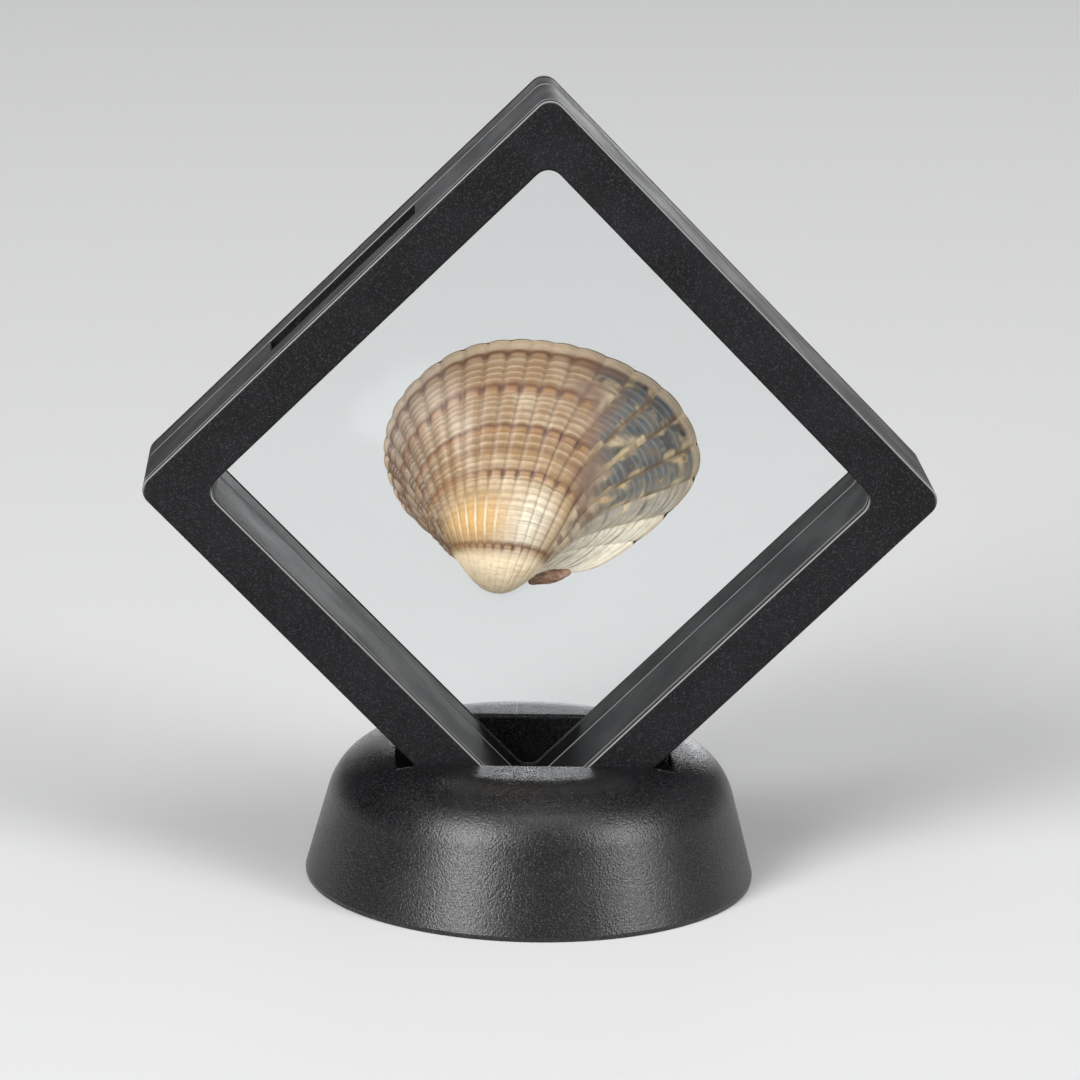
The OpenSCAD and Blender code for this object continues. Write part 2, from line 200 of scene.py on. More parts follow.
def grid_faces(rings, around, closed_rings=False):
    """Quads between neighbouring rings of points that each close on themselves."""
    ring = np.arange(rings if closed_rings else rings - 1)[:, None]
    step = np.arange(around)[None, :]
    following, beside = (ring + 1) % rings, (step + 1) % around
    corners = [ring * around + step, ring * around + beside,
               following * around + beside, following * around + step]
    return np.stack(np.broadcast_arrays(*corners), -1).reshape(-1, 4)


def mesh_from(name, points, quads, triangles=()):
    """A mesh of the quads and triangles between the points, its faces turned outwards."""
    mesh = bpy.data.meshes.new(name)
    faces = [tuple(q) for q in quads.tolist()] + [tuple(t) for t in triangles]
    mesh.from_pydata(points.reshape(-1, 3).tolist(), [], faces)
    mesh.validate()
    shape = bmesh.new()
    shape.from_mesh(mesh)
    bmesh.ops.recalc_face_normals(shape, faces=shape.faces)
    shape.to_mesh(mesh)
    shape.free()
    return mesh


def fan(centre, ring_start, around):
    """Triangles from a centre point to a closed ring of points."""
    return [(centre, ring_start + i, ring_start + (i + 1) % around) for i in range(around)]


def lofted(name, rings):
    """A closed solid through rings of points, its two ends closed with fans. The points that
    close the ends come last."""
    rings = np.asarray(rings)
    count, around = rings.shape[:2]
    ends = np.stack([rings[0].mean(0), rings[-1].mean(0)])
    points = np.concatenate([rings.reshape(-1, 3), ends])
    total = count * around
    caps = fan(total, 0, around) + fan(total + 1, total - around, around)
    return link(name, mesh_from(name, points, grid_faces(count, around), caps))


def ring_solid(name, rings):
    """A closed solid whose rings join up, as a frame's do."""
    rings = np.asarray(rings)
    return link(name, mesh_from(name, rings, grid_faces(*rings.shape[:2], closed_rings=True)))


def all_smooth(piece):
    """Smooth shading over a piece that has no sharp edges."""
    faces = piece.data.polygons
    faces.foreach_set("use_smooth", np.ones(len(faces), bool))
    return piece


def combined(piece, other, operation):
    """Cuts other out of piece, or joins it on, and removes other."""
    step = piece.modifiers.new("Combine", "BOOLEAN")
    step.object, step.operation, step.solver = other, operation, "EXACT"
    evaluated = piece.evaluated_get(bpy.context.evaluated_depsgraph_get())
    mesh = bpy.data.meshes.new_from_object(evaluated)
    piece.modifiers.clear()
    piece.data = mesh
    bpy.data.objects.remove(other)
    return piece


def smoothed(piece):
    """Smooth shading that keeps flat faces flat and the sharper edges sharp."""
    shape = bmesh.new()
    shape.from_mesh(piece.data)
    bmesh.ops.remove_doubles(shape, verts=shape.verts, dist=WELD)
    for edge in shape.edges:
        edge.smooth = len(edge.link_faces) == 2 and edge.calc_face_angle(0) < SHARP_ANGLE
    for face in shape.faces:
        face.smooth = True
    shape.to_mesh(piece.data)
    shape.free()
    weighted = piece.modifiers.new("Flat faces", "WEIGHTED_NORMAL")
    weighted.keep_sharp, weighted.weight = True, FLAT_WEIGHT
    return piece


def rounded_corners(corners, radii, steps=5):
    """The closed outline through the corners, each rounded with its own radius."""
    outline = []
    corners = [np.array(c, float) for c in corners]
    for i, corner in enumerate(corners):
        before, after = corners[i - 1], corners[(i + 1) % len(corners)]
        a = (before - corner) / np.linalg.norm(before - corner)
        b = (after - corner) / np.linalg.norm(after - corner)
        half_turn = math.acos(max(-1.0, min(1.0, float(a @ b)))) / 2
        back = radii[i] / math.tan(half_turn)
        start, end = corner + a * back, corner + b * back
        middle = corner + (a + b) / np.linalg.norm(a + b) * radii[i] / math.sin(half_turn)
        for k in range(steps + 1):
            t = k / steps
            chord = start * (1 - t) + end * t - middle
            outline.append(middle + chord / np.linalg.norm(chord) * radii[i])
    return outline


def rounded_square(half, radius, steps=10):
    """Points round a square with rounded corners, the same number for any size."""
    points = []
    for quarter, (side_x, side_z) in enumerate([(1, 1), (-1, 1), (-1, -1), (1, -1)]):
        for k in range(steps + 1):
            angle = math.pi / 2 * (quarter + k / steps)
            points.append((side_x * (half - radius) + radius * math.cos(angle),
                           side_z * (half - radius) + radius * math.sin(angle)))
    return np.array(points)


def placed(points):
    """Turns points that are square to the case onto the case's corner, at its height."""
    points = np.asarray(points)
    across, deep, up = points[..., 0], points[..., 1], points[..., 2]
    return np.stack([HALF_ROOT * (across + up), deep,
                     HALF_ROOT * (up - across) + CENTRE_HEIGHT], -1)


def placed_point(across, deep, up):
    """One point that is square to the case, turned onto the case's corner."""
    return placed([[across, deep, up]])[0]


def soft_block(name, low, high, radius, steps=3):
    """A block with rounded edges, square to the case."""
    rings = []
    for end, side in ((low[0], 1), (high[0], -1)):
        angles = [math.pi / 2 * k / steps for k in range(steps + 1)]
        for angle in angles if side > 0 else reversed(angles):
            inset = radius * (1 - math.sin(angle))
            x = end + side * radius * (1 - math.cos(angle))
            rings.append(block_ring(x, low, high, inset, radius))
    return lofted(name, placed(rings))


def block_ring(x, low, high, inset, radius):
    """One cross-section of a block: a rounded rectangle in the plane across its length."""
    corners = [(low[1] + inset, low[2] + inset), (high[1] - inset, low[2] + inset),
               (high[1] - inset, high[2] - inset), (low[1] + inset, high[2] - inset)]
    outline = rounded_corners(corners, [max(radius - inset, SHARPEST)] * 4, 3)
    return [(x, y, z) for y, z in outline]


def soft_rod(name, middle, axis, radius, reach, edge, steps=32):
    """A rod with rounded ends along the unit vector axis."""
    axis = np.array(axis, float)
    across = np.cross(axis, (0.0, 1.0, 0.0))
    beside = np.cross(axis, across)
    outline = [(radius - edge, -reach / 2)]
    outline += [(radius - edge * (1 - math.sin(a)), -reach / 2 + edge * (1 - math.cos(a)))
                for a in ROD_ROUNDING]
    outline += [(r, -along) for r, along in reversed(outline)]
    angles = np.linspace(0, 2 * math.pi, steps, endpoint=False)
    circle = np.outer(np.cos(angles), across) + np.outer(np.sin(angles), beside)
    rings = [np.array(middle) + axis * along + circle * r for r, along in outline]
    return lofted(name, rings)


# ---- Materials ----

# Gloss clouds of the plastics, light specks of painted sparkle per pit, how much an edge with a
# painted highlight faces forward and how far from that it still counts as one, and the roughness
# that the pits add
CLOUDS_PER_METRE, SPARKLE_SPECKS_PER_GRAIN = 140.0, 1.7
HIGHLIGHT_EDGE_FACING, HIGHLIGHT_EDGE_SPREAD, PITS_ROUGHNESS = 0.7, 0.32, 0.14
WHITEST = 0.95


def darker(tone, share):
    """The colour times share, which may also be over 1, up to the whitest paint."""
    return [min(c * share, WHITEST) for c in tone[:3]]


class Shader:
    """A material's node tree, with short ways to add the nodes used here."""

    def __init__(self, name):
        self.material = bpy.data.materials.new(name)
        self.material.use_nodes = True
        self.tree = self.material.node_tree
        self.surface = self.tree.nodes["Principled BSDF"]
        self.output = self.tree.nodes["Material Output"]

    @classmethod
    def around(cls, tree):
        """The same short ways for a node tree that is there already."""
        made = cls.__new__(cls)
        made.tree = tree
        return made

    def node(self, kind, values=(), **settings):
        """A new node with its settings, and with values on its sockets, in order or by name."""
        made = self.tree.nodes.new(kind)
        for key, value in settings.items():
            setattr(made, key, value)
        for key, value in values.items() if isinstance(values, dict) else enumerate(values):
            self.put(made.inputs[key], value)
        return made

    def put(self, socket, value):
        """Links value to the socket, or sets it there if it is a number or a colour."""
        if isinstance(value, bpy.types.NodeSocket):
            self.tree.links.new(value, socket)
        elif hasattr(value, "__len__") and socket.type == "RGBA":
            socket.default_value = (*value[:3], 1)
        else:
            socket.default_value = value

    def attribute(self, name):
        return self.node("ShaderNodeAttribute", attribute_name=name).outputs["Fac"]

    def place(self):
        return self.node("ShaderNodeTexCoord").outputs["Object"]

    def parts(self, vector):
        """The X, Y and Z of a vector."""
        return self.node("ShaderNodeSeparateXYZ", (vector,)).outputs

    def math(self, operation, a, b=0.0, c=0.0):
        return self.node("ShaderNodeMath", (a, b, c), operation=operation).outputs[0]

    def plus(self, a, b):
        return self.math("ADD", a, b)

    def minus(self, a, b):
        return self.math("SUBTRACT", a, b)

    def times(self, first, *others):
        total = first
        for other in others:
            total = self.math("MULTIPLY", total, other)
        return total

    def mapped(self, value, low, high, to_low=0.0, to_high=1.0):
        """Smooth step of value between low and high."""
        return self.node("ShaderNodeMapRange", (value, low, high, to_low, to_high),
                         interpolation_type="SMOOTHSTEP", clamp=True).outputs[0]

    def near(self, value, centre, width):
        """1 where value is at the centre, falling to 0 at width from it."""
        return self.mapped(self.math("ABSOLUTE", self.minus(value, centre)), width, 0.0)

    def mix(self, share, a, b):
        """Colour a, turning to colour b as share goes from 0 to 1."""
        colours = {"Factor": share, 6: a, 7: b}
        return self.node("ShaderNodeMix", colours, data_type="RGBA").outputs[2]

    def vector(self, x, y, z=0.0):
        return self.node("ShaderNodeCombineXYZ", (x, y, z)).outputs[0]

    def noise(self, vector, scale, detail=2.0, roughness=0.5):
        return self.node("ShaderNodeTexNoise", {
            "Vector": vector, "Scale": scale, "Detail": detail,
            "Roughness": roughness}).outputs["Fac"]

    def bump(self, height, distance, strength=1.0, under=None):
        """Fine relief, over the relief under it if there is one."""
        values = {"Strength": strength, "Distance": distance, "Height": height}
        if under is not None:
            values["Normal"] = under
        return self.node("ShaderNodeBump", values).outputs[0]

    def finish(self, **sockets):
        for name, value in sockets.items():
            self.put(self.surface.inputs[name.replace("_", " ")], value)
        return self.material


def moulded_plastic(name, base, grain, depth, rough, gloss, painted_sparkle, edge=0.0):
    """Black plastic with a spark-eroded grain: fine pits, cloudy gloss between the two values
    of rough, and light specks of painted sparkle that stand in for the grain's glints. Where
    edge is over 0, that is the grey of a painted highlight on the upper rounded edges between
    the faces, which are XZ planes, and the walls."""
    shade = Shader(name)
    place = shade.place()
    pits = shade.noise(place, 1 / grain, 2.0, 0.6)
    clouds = shade.noise(place, CLOUDS_PER_METRE, 3.0)
    # Painted sparkle: light specks in the colour stand in for the glints of the grain's pits
    sparkle_specks = shade.mapped(shade.noise(place, SPARKLE_SPECKS_PER_GRAIN / grain, 1.0), 0.52, 0.74)
    tone = shade.mix(shade.mapped(clouds, 0.3, 0.7), darker(base, 0.6), darker(base, 0.95))
    tone = shade.mix(sparkle_specks, tone, darker(base, painted_sparkle))
    # Painted highlight: rounded edges that face half forward and upward get a lighter grey
    if edge > 0:
        facing = shade.parts(shade.node("ShaderNodeTexCoord").outputs["Normal"])
        highlight_edges = shade.near(shade.math("ABSOLUTE", facing["Y"]), HIGHLIGHT_EDGE_FACING, HIGHLIGHT_EDGE_SPREAD)
        lit_from_above = shade.mapped(facing["Z"], -0.3, 0.3)
        tone = shade.mix(shade.times(highlight_edges, lit_from_above), tone, (edge, edge, edge))
    cloudy = shade.mapped(clouds, 0.3, 0.7, *rough)
    return shade.finish(
        Base_Color=tone, Roughness=shade.plus(cloudy, shade.times(pits, PITS_ROUGHNESS)),
        Specular_IOR_Level=gloss, Normal=shade.bump(pits, depth))


def steel():
    """Drawn steel wire: bright, with fine lines along the pin."""
    shade = Shader("pin steel")
    stretched = shade.node("ShaderNodeMapping", {
        "Rotation": (0, math.pi / 4, 0), "Scale": (60, 9000, 9000), "Vector": shade.place()})
    lines = shade.noise(stretched.outputs[0], 1.0, 2.0)
    return shade.finish(
        Base_Color=shade.mix(lines, (0.42, 0.42, 0.43), (0.62, 0.62, 0.63)), Metallic=1.0,
        Roughness=shade.mapped(lines, 0.2, 0.8, 0.22, 0.42),
        Normal=shade.bump(lines, 0.01 * MM))


def clear_film(shine):
    """Clear elastic film: seen through, with a soft gloss that grows at a glancing angle."""
    shade = Shader("clear film")
    ripple = shade.noise(shade.place(), 90.0, 2.0)
    facing = shade.node("ShaderNodeFresnel", {"IOR": 1.4})
    gloss = shade.node("ShaderNodeBsdfGlossy", {"Roughness": 0.16})
    shade.put(gloss.inputs["Normal"], shade.bump(ripple, 0.25 * MM))
    shade.put(gloss.inputs["Color"], shade.mix(ripple, (0.9, 0.93, 0.95), (1.0, 1.0, 1.0)))
    through = shade.node("ShaderNodeBsdfTransparent", {"Color": (0.985, 0.99, 0.99)})
    both = shade.node("ShaderNodeMixShader")
    glancing = shade.times(facing.outputs[0], shine)
    for socket, value in zip(both.inputs, (glancing, through.outputs[0], gloss.outputs[0])):
        shade.put(socket, value)
    shade.tree.nodes.remove(shade.surface)
    shade.put(shade.output.inputs[0], both.outputs[0])
    return shade.material


# ---- The seashell's shape ----

# Margin of a valve from the case's middle, in millimetres, with the hinge at the bottom
MARGIN = [
    (-19.2, 2.5), (-17.4, 9.1), (-11.9, 14.6), (-5, 16.9), (3.4, 16.5), (10.2, 14.3),
    (16.1, 10.5), (19.6, 5), (19.8, -0.2), (15.6, -5.9), (9, -11.2), (4.4, -12.7),
    (-1, -12.6), (-6.3, -12.0), (-10.2, -11.0), (-12.8, -8.4), (-17.2, -3.8),
]
BEAK = (-4.9, -12.0)
HINGE_TILT = math.radians(-7)
# The margin's points between which the valve has no ribs, by the hinge
FIRST_PLAIN, LAST_PLAIN = 9.5, 15.5
# Degrees round the beak that a rib takes, and the rib at which the count starts
RIB_DEGREES, NARROWEST_RIB, WIDEST_RIB = 5.8, 3.6, 8.1
COUNTED_FROM, FIRST_COUNTED = -20.5, 30
# How square a rib's section is, and the share of its height under the smooth surface
RIB_ROUNDNESS, RIB_SEAT = 2.8, 0.75
RIBBED_STEPS, PLAIN_STEPS = 372, 48
# Growth stages: where the ridges end, where the plain beak starts, and the youngest shell
RIDGED, BEAK_START, YOUNGEST = 0.42, 0.416, 0.055
RIDGED_STEPS, BEAK_STEPS, INNER_STEPS = 150, 78, 9
INNER_END = 0.34
# Rings by the margin that tell which way is outwards
OUTWARD_RINGS = 100
# Growth stages at which the shell stopped for a winter, and how much growth each dent takes
WINTERS, WINTER_WIDTH = (0.95, 0.825, 0.722, 0.585, 0.385), 0.006
# Growth from ridge to ridge, the share of it that rises, and the depth of the wide dents
RIDGE_SPACING, RIDGE_RISE, DENTS = 0.019, 0.72, 0.09 * MM


def smooth_step(t):
    """0 up to t = 0, 1 from t = 1, and a smooth rise between."""
    t = np.clip(t, 0, 1)
    return t * t * (3 - 2 * t)


def closed_curve(points, share):
    """Points of the smooth closed curve at shares 0 to 1 of the way round."""
    points = np.array(points, float)
    count = len(points)
    place = np.asarray(share) % 1.0 * count
    i, t = place.astype(int), (place % 1.0)[:, None]
    a, b, c, d = (points[(i + k) % count] for k in (-1, 0, 1, 2))
    return 0.5 * (2 * b + (c - a) * t + (2 * a - 5 * b + 4 * c - d) * t ** 2
                  + (3 * b - a - 3 * c + d) * t ** 3)


def margin_points():
    """Margin of the valve, close together where it is ribbed and wide apart at the hinge."""
    first_plain, last_plain = FIRST_PLAIN / len(MARGIN), LAST_PLAIN / len(MARGIN)
    fine = np.linspace(last_plain - 1, first_plain, RIBBED_STEPS * 4)
    path = closed_curve(MARGIN, fine)
    along = np.concatenate([[0], np.cumsum(np.linalg.norm(np.diff(path, axis=0), axis=1))])
    even = np.interp(np.linspace(0, along[-1], RIBBED_STEPS, endpoint=False), along, fine)
    plain = np.linspace(first_plain, last_plain, PLAIN_STEPS, endpoint=False)
    return closed_curve(MARGIN, np.concatenate([even, plain])) * MM


def growth_steps():
    """Growth stages from 1 at the margin down to the beak, close together on the ridges."""
    return np.concatenate([np.linspace(1, RIDGED, RIDGED_STEPS),
                           np.linspace(BEAK_START, YOUNGEST, BEAK_STEPS)])


class Valve:
    """One valve as it grows: every young margin is a smaller copy, tilted about the hinge."""

    def __init__(self, sizes, toward):
        self.sizes, self.toward = sizes, toward
        self.margin = margin_points()
        beak = np.array(BEAK) * MM
        along = np.array([math.cos(HINGE_TILT), math.sin(HINGE_TILT)])
        outward = np.array([-along[1], along[0]])
        reach = self.margin - beak
        self.beak, self.along, self.outward = beak, along, outward
        self.side, self.depth = reach @ along, np.maximum(reach @ outward, 0)
        self.angle = np.degrees(np.arctan2(self.side, reach @ outward))
        self.plane = VALVES_PLANE + toward * sizes.gap / 2

    def skin(self, growth):
        """Smooth surface at each growth stage: points with across, along Y and up."""
        growth = np.asarray(growth)[:, None]
        tilt = self.sizes.coil * np.log(1 / growth)
        rear = smooth_step(self.side / (12 * MM))
        width = 1 - self.sizes.narrow * smooth_step((1 - growth) / 0.45) * rear
        side = growth * self.side * width
        out = growth * self.depth * np.cos(tilt)
        height = self.sizes.swell * growth * self.depth * np.sin(tilt)
        flat = (self.beak + side[..., None] * self.along + out[..., None] * self.outward)
        return np.stack([flat[..., 0], self.plane + self.toward * height,
                         flat[..., 1] + CENTRE_HEIGHT], -1)

    def own_side(self, points):
        """Moves points that crossed the plane between the valves back onto it."""
        past = (points[..., 1] - self.plane) * self.toward
        points[..., 1] = self.plane + self.toward * np.maximum(past, 0)
        return points

    def normals(self, points):
        """Outward normals of the smooth surface at its points."""
        down = np.gradient(points, axis=0)
        around = np.roll(points, -1, axis=1) - np.roll(points, 1, axis=1)
        normal = np.cross(down, around)
        normal /= np.maximum(np.linalg.norm(normal, axis=-1, keepdims=True), 1e-12)
        outside = np.sign((normal[:OUTWARD_RINGS, :RIBBED_STEPS, 1] * self.toward).mean())
        return normal * outside

    def rib_numbers(self, growth):
        """Rib number at each point, whole numbers at the grooves between ribs. The ribs are
        narrow at the front, wide at the rear and bend a little as they grow."""
        angles = np.linspace(-180, 180, 1441)
        width = (RIB_DEGREES + (NARROWEST_RIB - RIB_DEGREES) * smooth_step((-angles - 33) / 28)
                 + (WIDEST_RIB - RIB_DEGREES) * smooth_step((angles - 2) / 10)
                 - smooth_step((angles - 45) / 20))
        counted = np.cumsum((angles[1] - angles[0]) / width)
        bend = 14 * (np.maximum(growth, 0.45) - 0.69) * np.exp(-((self.angle + 8) / 28) ** 2)
        return (np.interp(self.angle - bend, angles, counted)
                - np.interp(COUNTED_FROM, angles, counted) + FIRST_COUNTED)

    def rib_strength(self, growth, front):
        """Share of their height that the ribs have: less near the beak, more at the front."""
        strength = (0.3 + 0.7 * smooth_step((growth - 0.1) / 0.5)) * growth ** 0.3
        return strength * (1 + 0.35 * front)

    def ridge_shape(self, growth, scallop):
        """Growth ridges from 0 to 1: a slow rise and a short fall, at uneven distances."""
        uneven = 0.0035 * np.sin(31 * growth) + 0.002 * np.sin(77 * growth + 1)
        phase = ((growth + uneven - scallop) / RIDGE_SPACING) % 1.0
        return np.where(phase < RIDGE_RISE, smooth_step(phase / RIDGE_RISE),
                        smooth_step((1 - phase) / (1 - RIDGE_RISE)))

    def relief(self, growth):
        """Height of the ribs and growth ridges over the smooth surface, with attributes."""
        growth = np.asarray(growth)[:, None]
        number = self.rib_numbers(growth)
        crest = 1 - np.abs(2 * (number % 1.0) - 1) ** RIB_ROUNDNESS
        ribbed = smooth_step((self.angle + 98) / 16) * smooth_step((84 - self.angle) / 20)
        front = smooth_step((-self.angle - 18) / 30)
        rear = smooth_step((self.angle - 48) / 18)
        late = smooth_step((growth - 0.36) / 0.3)
        strength = self.rib_strength(growth, front) * ribbed
        ribs = self.sizes.rib_height * strength * (crest - RIB_SEAT)

        arch = 0.12 + 0.1 * smooth_step((growth - 0.72) / 0.1) + 0.3 * front
        scallop = arch * RIDGE_SPACING * (crest - 0.5) * ribbed
        ridge = self.ridge_shape(growth, scallop)
        share = late * (0.55 + 0.55 * front + 0.2 * rear)
        winters = sum(np.exp(-((growth - scallop - winter + WINTER_WIDTH) / WINTER_WIDTH) ** 2)
                      for winter in WINTERS)
        ridges = self.sizes.ridge_height * (share * (ridge - 0.5) - 0.5 * winters * late)
        dents = DENTS * np.sin(9 * growth + 0.05 * self.angle) * np.sin(0.11 * self.angle)
        shown = smooth_step((growth - 0.09) / 0.12)
        height = (ribs + ridges + dents * late) * shown
        return height, {"crest": crest * ribbed, "ridge": ridge * late, "rib": number}

    def outer(self):
        """Outside surface, from the margin up to the beak, with its attributes."""
        growth = growth_steps()
        smooth = self.skin(growth)
        height, facts = self.relief(growth)
        facts["growth"] = growth[:, None] * np.ones_like(height)
        facts["fan"] = self.angle / 90 * np.ones_like(height)
        return self.own_side(smooth + self.normals(smooth) * height[..., None]), facts

    def inner(self):
        """Inside surface, from the margin up under the beak."""
        smooth = self.skin(np.linspace(1, INNER_END, INNER_STEPS))
        thicker = np.linspace(1, 1.2, INNER_STEPS)[:, None, None]
        return self.own_side(smooth - self.normals(smooth) * self.sizes.wall * thicker)


def valve_mesh(name, valve):
    """A closed valve: the ribbed outside, the smooth inside and the rim between them."""
    outside, facts = valve.outer()
    inside = valve.inner()
    piece = lofted(name, np.concatenate([outside[::-1], inside]))
    inner_points = np.ones(inside.shape[0] * inside.shape[1])
    for key, values in facts.items():
        both_ends = [values[-1, 0], 1.0]
        padded = np.concatenate([values[::-1].ravel(), inner_points, both_ends])
        made = piece.data.attributes.new(key, "FLOAT", "POINT")
        made.data.foreach_set("value", padded.astype(np.float32))
    return all_smooth(piece)


# ---- The seashell's colours ----

# Tones of small patches, beside the colours that a user would change
CHEVRON_GREY, RUST, SLATE_THREAD = (0.27, 0.215, 0.165), (0.38, 0.185, 0.07), (0.2, 0.215, 0.2)
BLOTCH, PATCH_BROWN, GROOVE_BROWN = (0.15, 0.085, 0.065), (0.17, 0.1, 0.075), (0.1, 0.06, 0.035)
LATE_LIGHT, LATE_DARK = (0.48, 0.385, 0.23), (0.13, 0.1, 0.07)
EARLY_LIGHT, EARLY_DARK = (0.62, 0.5, 0.34), (0.24, 0.15, 0.105)
SLOPE_GREY, SLOPE_PINK, SLOPE_GOLD = (0.23, 0.26, 0.27), (0.4, 0.3, 0.26), (0.62, 0.5, 0.24)
MARGIN_TONE, BEAK_TONE, CHECK_TONE = (0.56, 0.44, 0.31), (0.92, 0.76, 0.53), (0.6, 0.4, 0.22)
# How far clouds and ribs bend the growth lines, as shares of the growth
CLOUD_BEND, RIB_BEND = 0.012, 0.004
LINE_WIDTH, SPOT_FADE = 0.013, 0.08
# Growth bands: growth stage, strength of the thin line and of the warm zone, the zone's depth,
# and the first and last place round the fan of the spots in its grooves, which is past the
# ribs where a band has no spots
GROWTH_BANDS = (
    (0.955, 0.95, 0.25, 0.022, -0.7, 0.42), (0.845, 0.95, 0.6, 0.034, -0.75, 0.5),
    (0.722, 0.85, 0.45, 0.034, 0.02, 0.55), (0.655, 0.5, 0.2, 0.02, 2.0, 2.2),
    (0.6, 0.65, 0.45, 0.034, -0.15, 0.58), (0.388, 0.8, 0.5, 0.03, -0.3, 0.2),
)


class ShellShader(Shader):
    """Cockle shell: cream ribs, brown growth bands with spots in the grooves, a grey-brown
    front, slate ribs behind and a pale beak. Growth is 1 at the margin and falls towards the
    beak, and fan is the angle round the beak in right angles, from the front to the rear."""

    def __init__(self, sizes):
        super().__init__("cockle shell")
        self.sizes = sizes
        self.growth, self.fan = self.attribute("growth"), self.attribute("fan")
        self.rib, self.crest = self.attribute("rib"), self.attribute("crest")
        self.ridge = self.attribute("ridge")
        self.cloud = self.noise(self.place(), 260.0, 3.0)
        self.fine = self.noise(self.place(), 1500.0, 3.0)
        self.groove = self.minus(1.0, self.crest)
        self.column = self.math("FLOOR", self.rib)
        self.phase = self.math("FRACT", self.rib)
        wobble = self.times(self.minus(self.cloud, 0.5), CLOUD_BEND)
        scallop = self.times(self.minus(self.crest, 0.5), RIB_BEND)
        self.stage = self.minus(self.plus(self.growth, wobble), scallop)
        self.threads = self.along_growth(self.stage, 2.5, 170, 3.0)

    def along_growth(self, stage, across, along, detail, roughness=0.5, seed=0.0):
        """Noise drawn out along the growth lines."""
        place = self.vector(self.times(self.fan, across), self.times(stage, along), seed)
        return self.noise(place, 1.0, detail, roughness)

    def along_ribs(self, across, along, seed=0.0, detail=2.0):
        """Noise that changes from rib to rib and, more slowly, within a rib."""
        step = self.plus(self.times(self.column, across), self.times(self.fan, 3.0))
        return self.noise(self.vector(step, self.times(self.stage, along), seed), 1.0, detail, 0.55)

    def ribs(self):
        """Cream to tan ribs, white low in the middle, with faint lines, growth ridges with a painted
        highlight on their crests and painted shade in their troughs, and painted shade in the grooves
        between the ribs; these marks are partly the shell's own colour too.
        """
        sizes = self.sizes
        late = self.mapped(self.growth, 0.5, 0.74)
        tone = self.mix(late, sizes.cream, sizes.tan)
        tone = self.mix(self.mapped(self.cloud, 0.4, 0.75, 0, 0.22), tone, sizes.pale)
        white = self.times(self.near(self.growth, 0.44, 0.2), self.near(self.fan, 0.16, 0.38))
        groove_shade = self.minus(0.46, self.times(white, 0.3))
        for share, layer in (
                (self.times(white, 0.95), sizes.pale),
                # Painted shade in the troughs of the growth ridges, partly also their own darker
                # lines
                (self.mapped(self.ridge, 0.45, 0.05, 0.0, 0.3), darker(sizes.tan, 0.55)),
                (self.mapped(self.threads, 0.48, 0.66, 0.0, 0.4), darker(sizes.tan, 0.6)),
                # Painted highlight on the crests of the growth ridges, partly also their own pale
                # lines
                (self.mapped(self.ridge, 0.6, 1.0, 0.0, 0.14), sizes.pale),
                # Painted shade in the grooves between the ribs, partly also their own darker colour
                (self.times(self.mapped(self.groove, 0.3, 0.9), groove_shade),
                 darker(sizes.tan, 0.5))):
            tone = self.mix(share, tone, layer)
        return tone

    def front(self, tone):
        """Grey-brown chevrons on the front ribs."""
        place = self.mapped(self.fan, -0.28, -0.6)
        mottle = self.mapped(self.along_ribs(1.7, 17.0, 4.0), 0.42, 0.56, 0, 0.9)
        lines = self.mapped(self.ridge, 0.7, 0.25, 0.35, 1.0)
        tone = self.mix(self.times(place, 0.6), tone, CHEVRON_GREY)
        return self.mix(self.times(place, mottle, lines), tone, darker(self.sizes.band, 0.6))

    def bands(self, tone):
        """Growth bands: a thin dark line, a warm zone on its older side, and spots in the
        grooves of that zone."""
        spots = self.mapped(self.groove, 0.02, 0.55)
        patchy = self.along_ribs(2.3, 3.0, 11.0, 1.0)
        uneven = self.mapped(patchy, 0.35, 0.6, 0.8, 1.0)
        strong = self.mapped(patchy, 0.3, 0.55, 0.5, 0.95)
        threads = self.mapped(self.threads, 0.44, 0.6, 0.0, 0.75)
        for centre, line, warm, deep, first, last in GROWTH_BANDS:
            under = self.mapped(self.stage, centre + 0.002, centre - 0.003)
            zone = self.times(under, self.mapped(self.stage, centre - deep, centre - 0.3 * deep))
            tone = self.mix(self.times(zone, uneven, warm), tone, RUST)
            tone = self.mix(self.times(zone, uneven, warm, threads), tone, self.sizes.band)
            thin = self.near(self.stage, centre, LINE_WIDTH)
            tone = self.mix(self.times(thin, uneven, line), tone, self.sizes.band)
            across = self.times(self.mapped(self.fan, first - SPOT_FADE, first + SPOT_FADE),
                                self.mapped(self.fan, last + SPOT_FADE, last - SPOT_FADE))
            tone = self.mix(self.times(zone, across, spots, strong), tone, self.sizes.spot)
        return tone

    def warm_zone(self, tone):
        """Yellow zone over the beak, with pale threads in its grooves."""
        warm = self.times(self.near(self.growth, 0.46, 0.1), self.near(self.fan, -0.22, 0.36))
        tone = self.mix(self.times(warm, 0.6), tone, self.sizes.amber)
        return self.mix(self.times(warm, self.mapped(self.groove, 0.3, 0.7), 0.7), tone,
                        self.sizes.pale)

    def slate(self, mottle):
        """Slate with pale threads along the ridges and dark mottles."""
        slate = self.mix(self.mapped(self.ridge, 0.5, 1.0, 0.0, 0.55), self.sizes.slate,
                         SLATE_THREAD)
        return self.mix(self.mapped(mottle, 0.4, 0.56), darker(self.sizes.slate, 0.4), slate)

    def rear_edges(self, mottle, late):
        """The rear ribs beside their slate middles, cream or brown."""
        edge = self.mix(self.mapped(mottle, 0.42, 0.56), LATE_LIGHT, LATE_DARK)
        early = self.mix(self.mapped(mottle, 0.42, 0.54), EARLY_DARK, EARLY_LIGHT)
        return self.mix(late, early, edge)

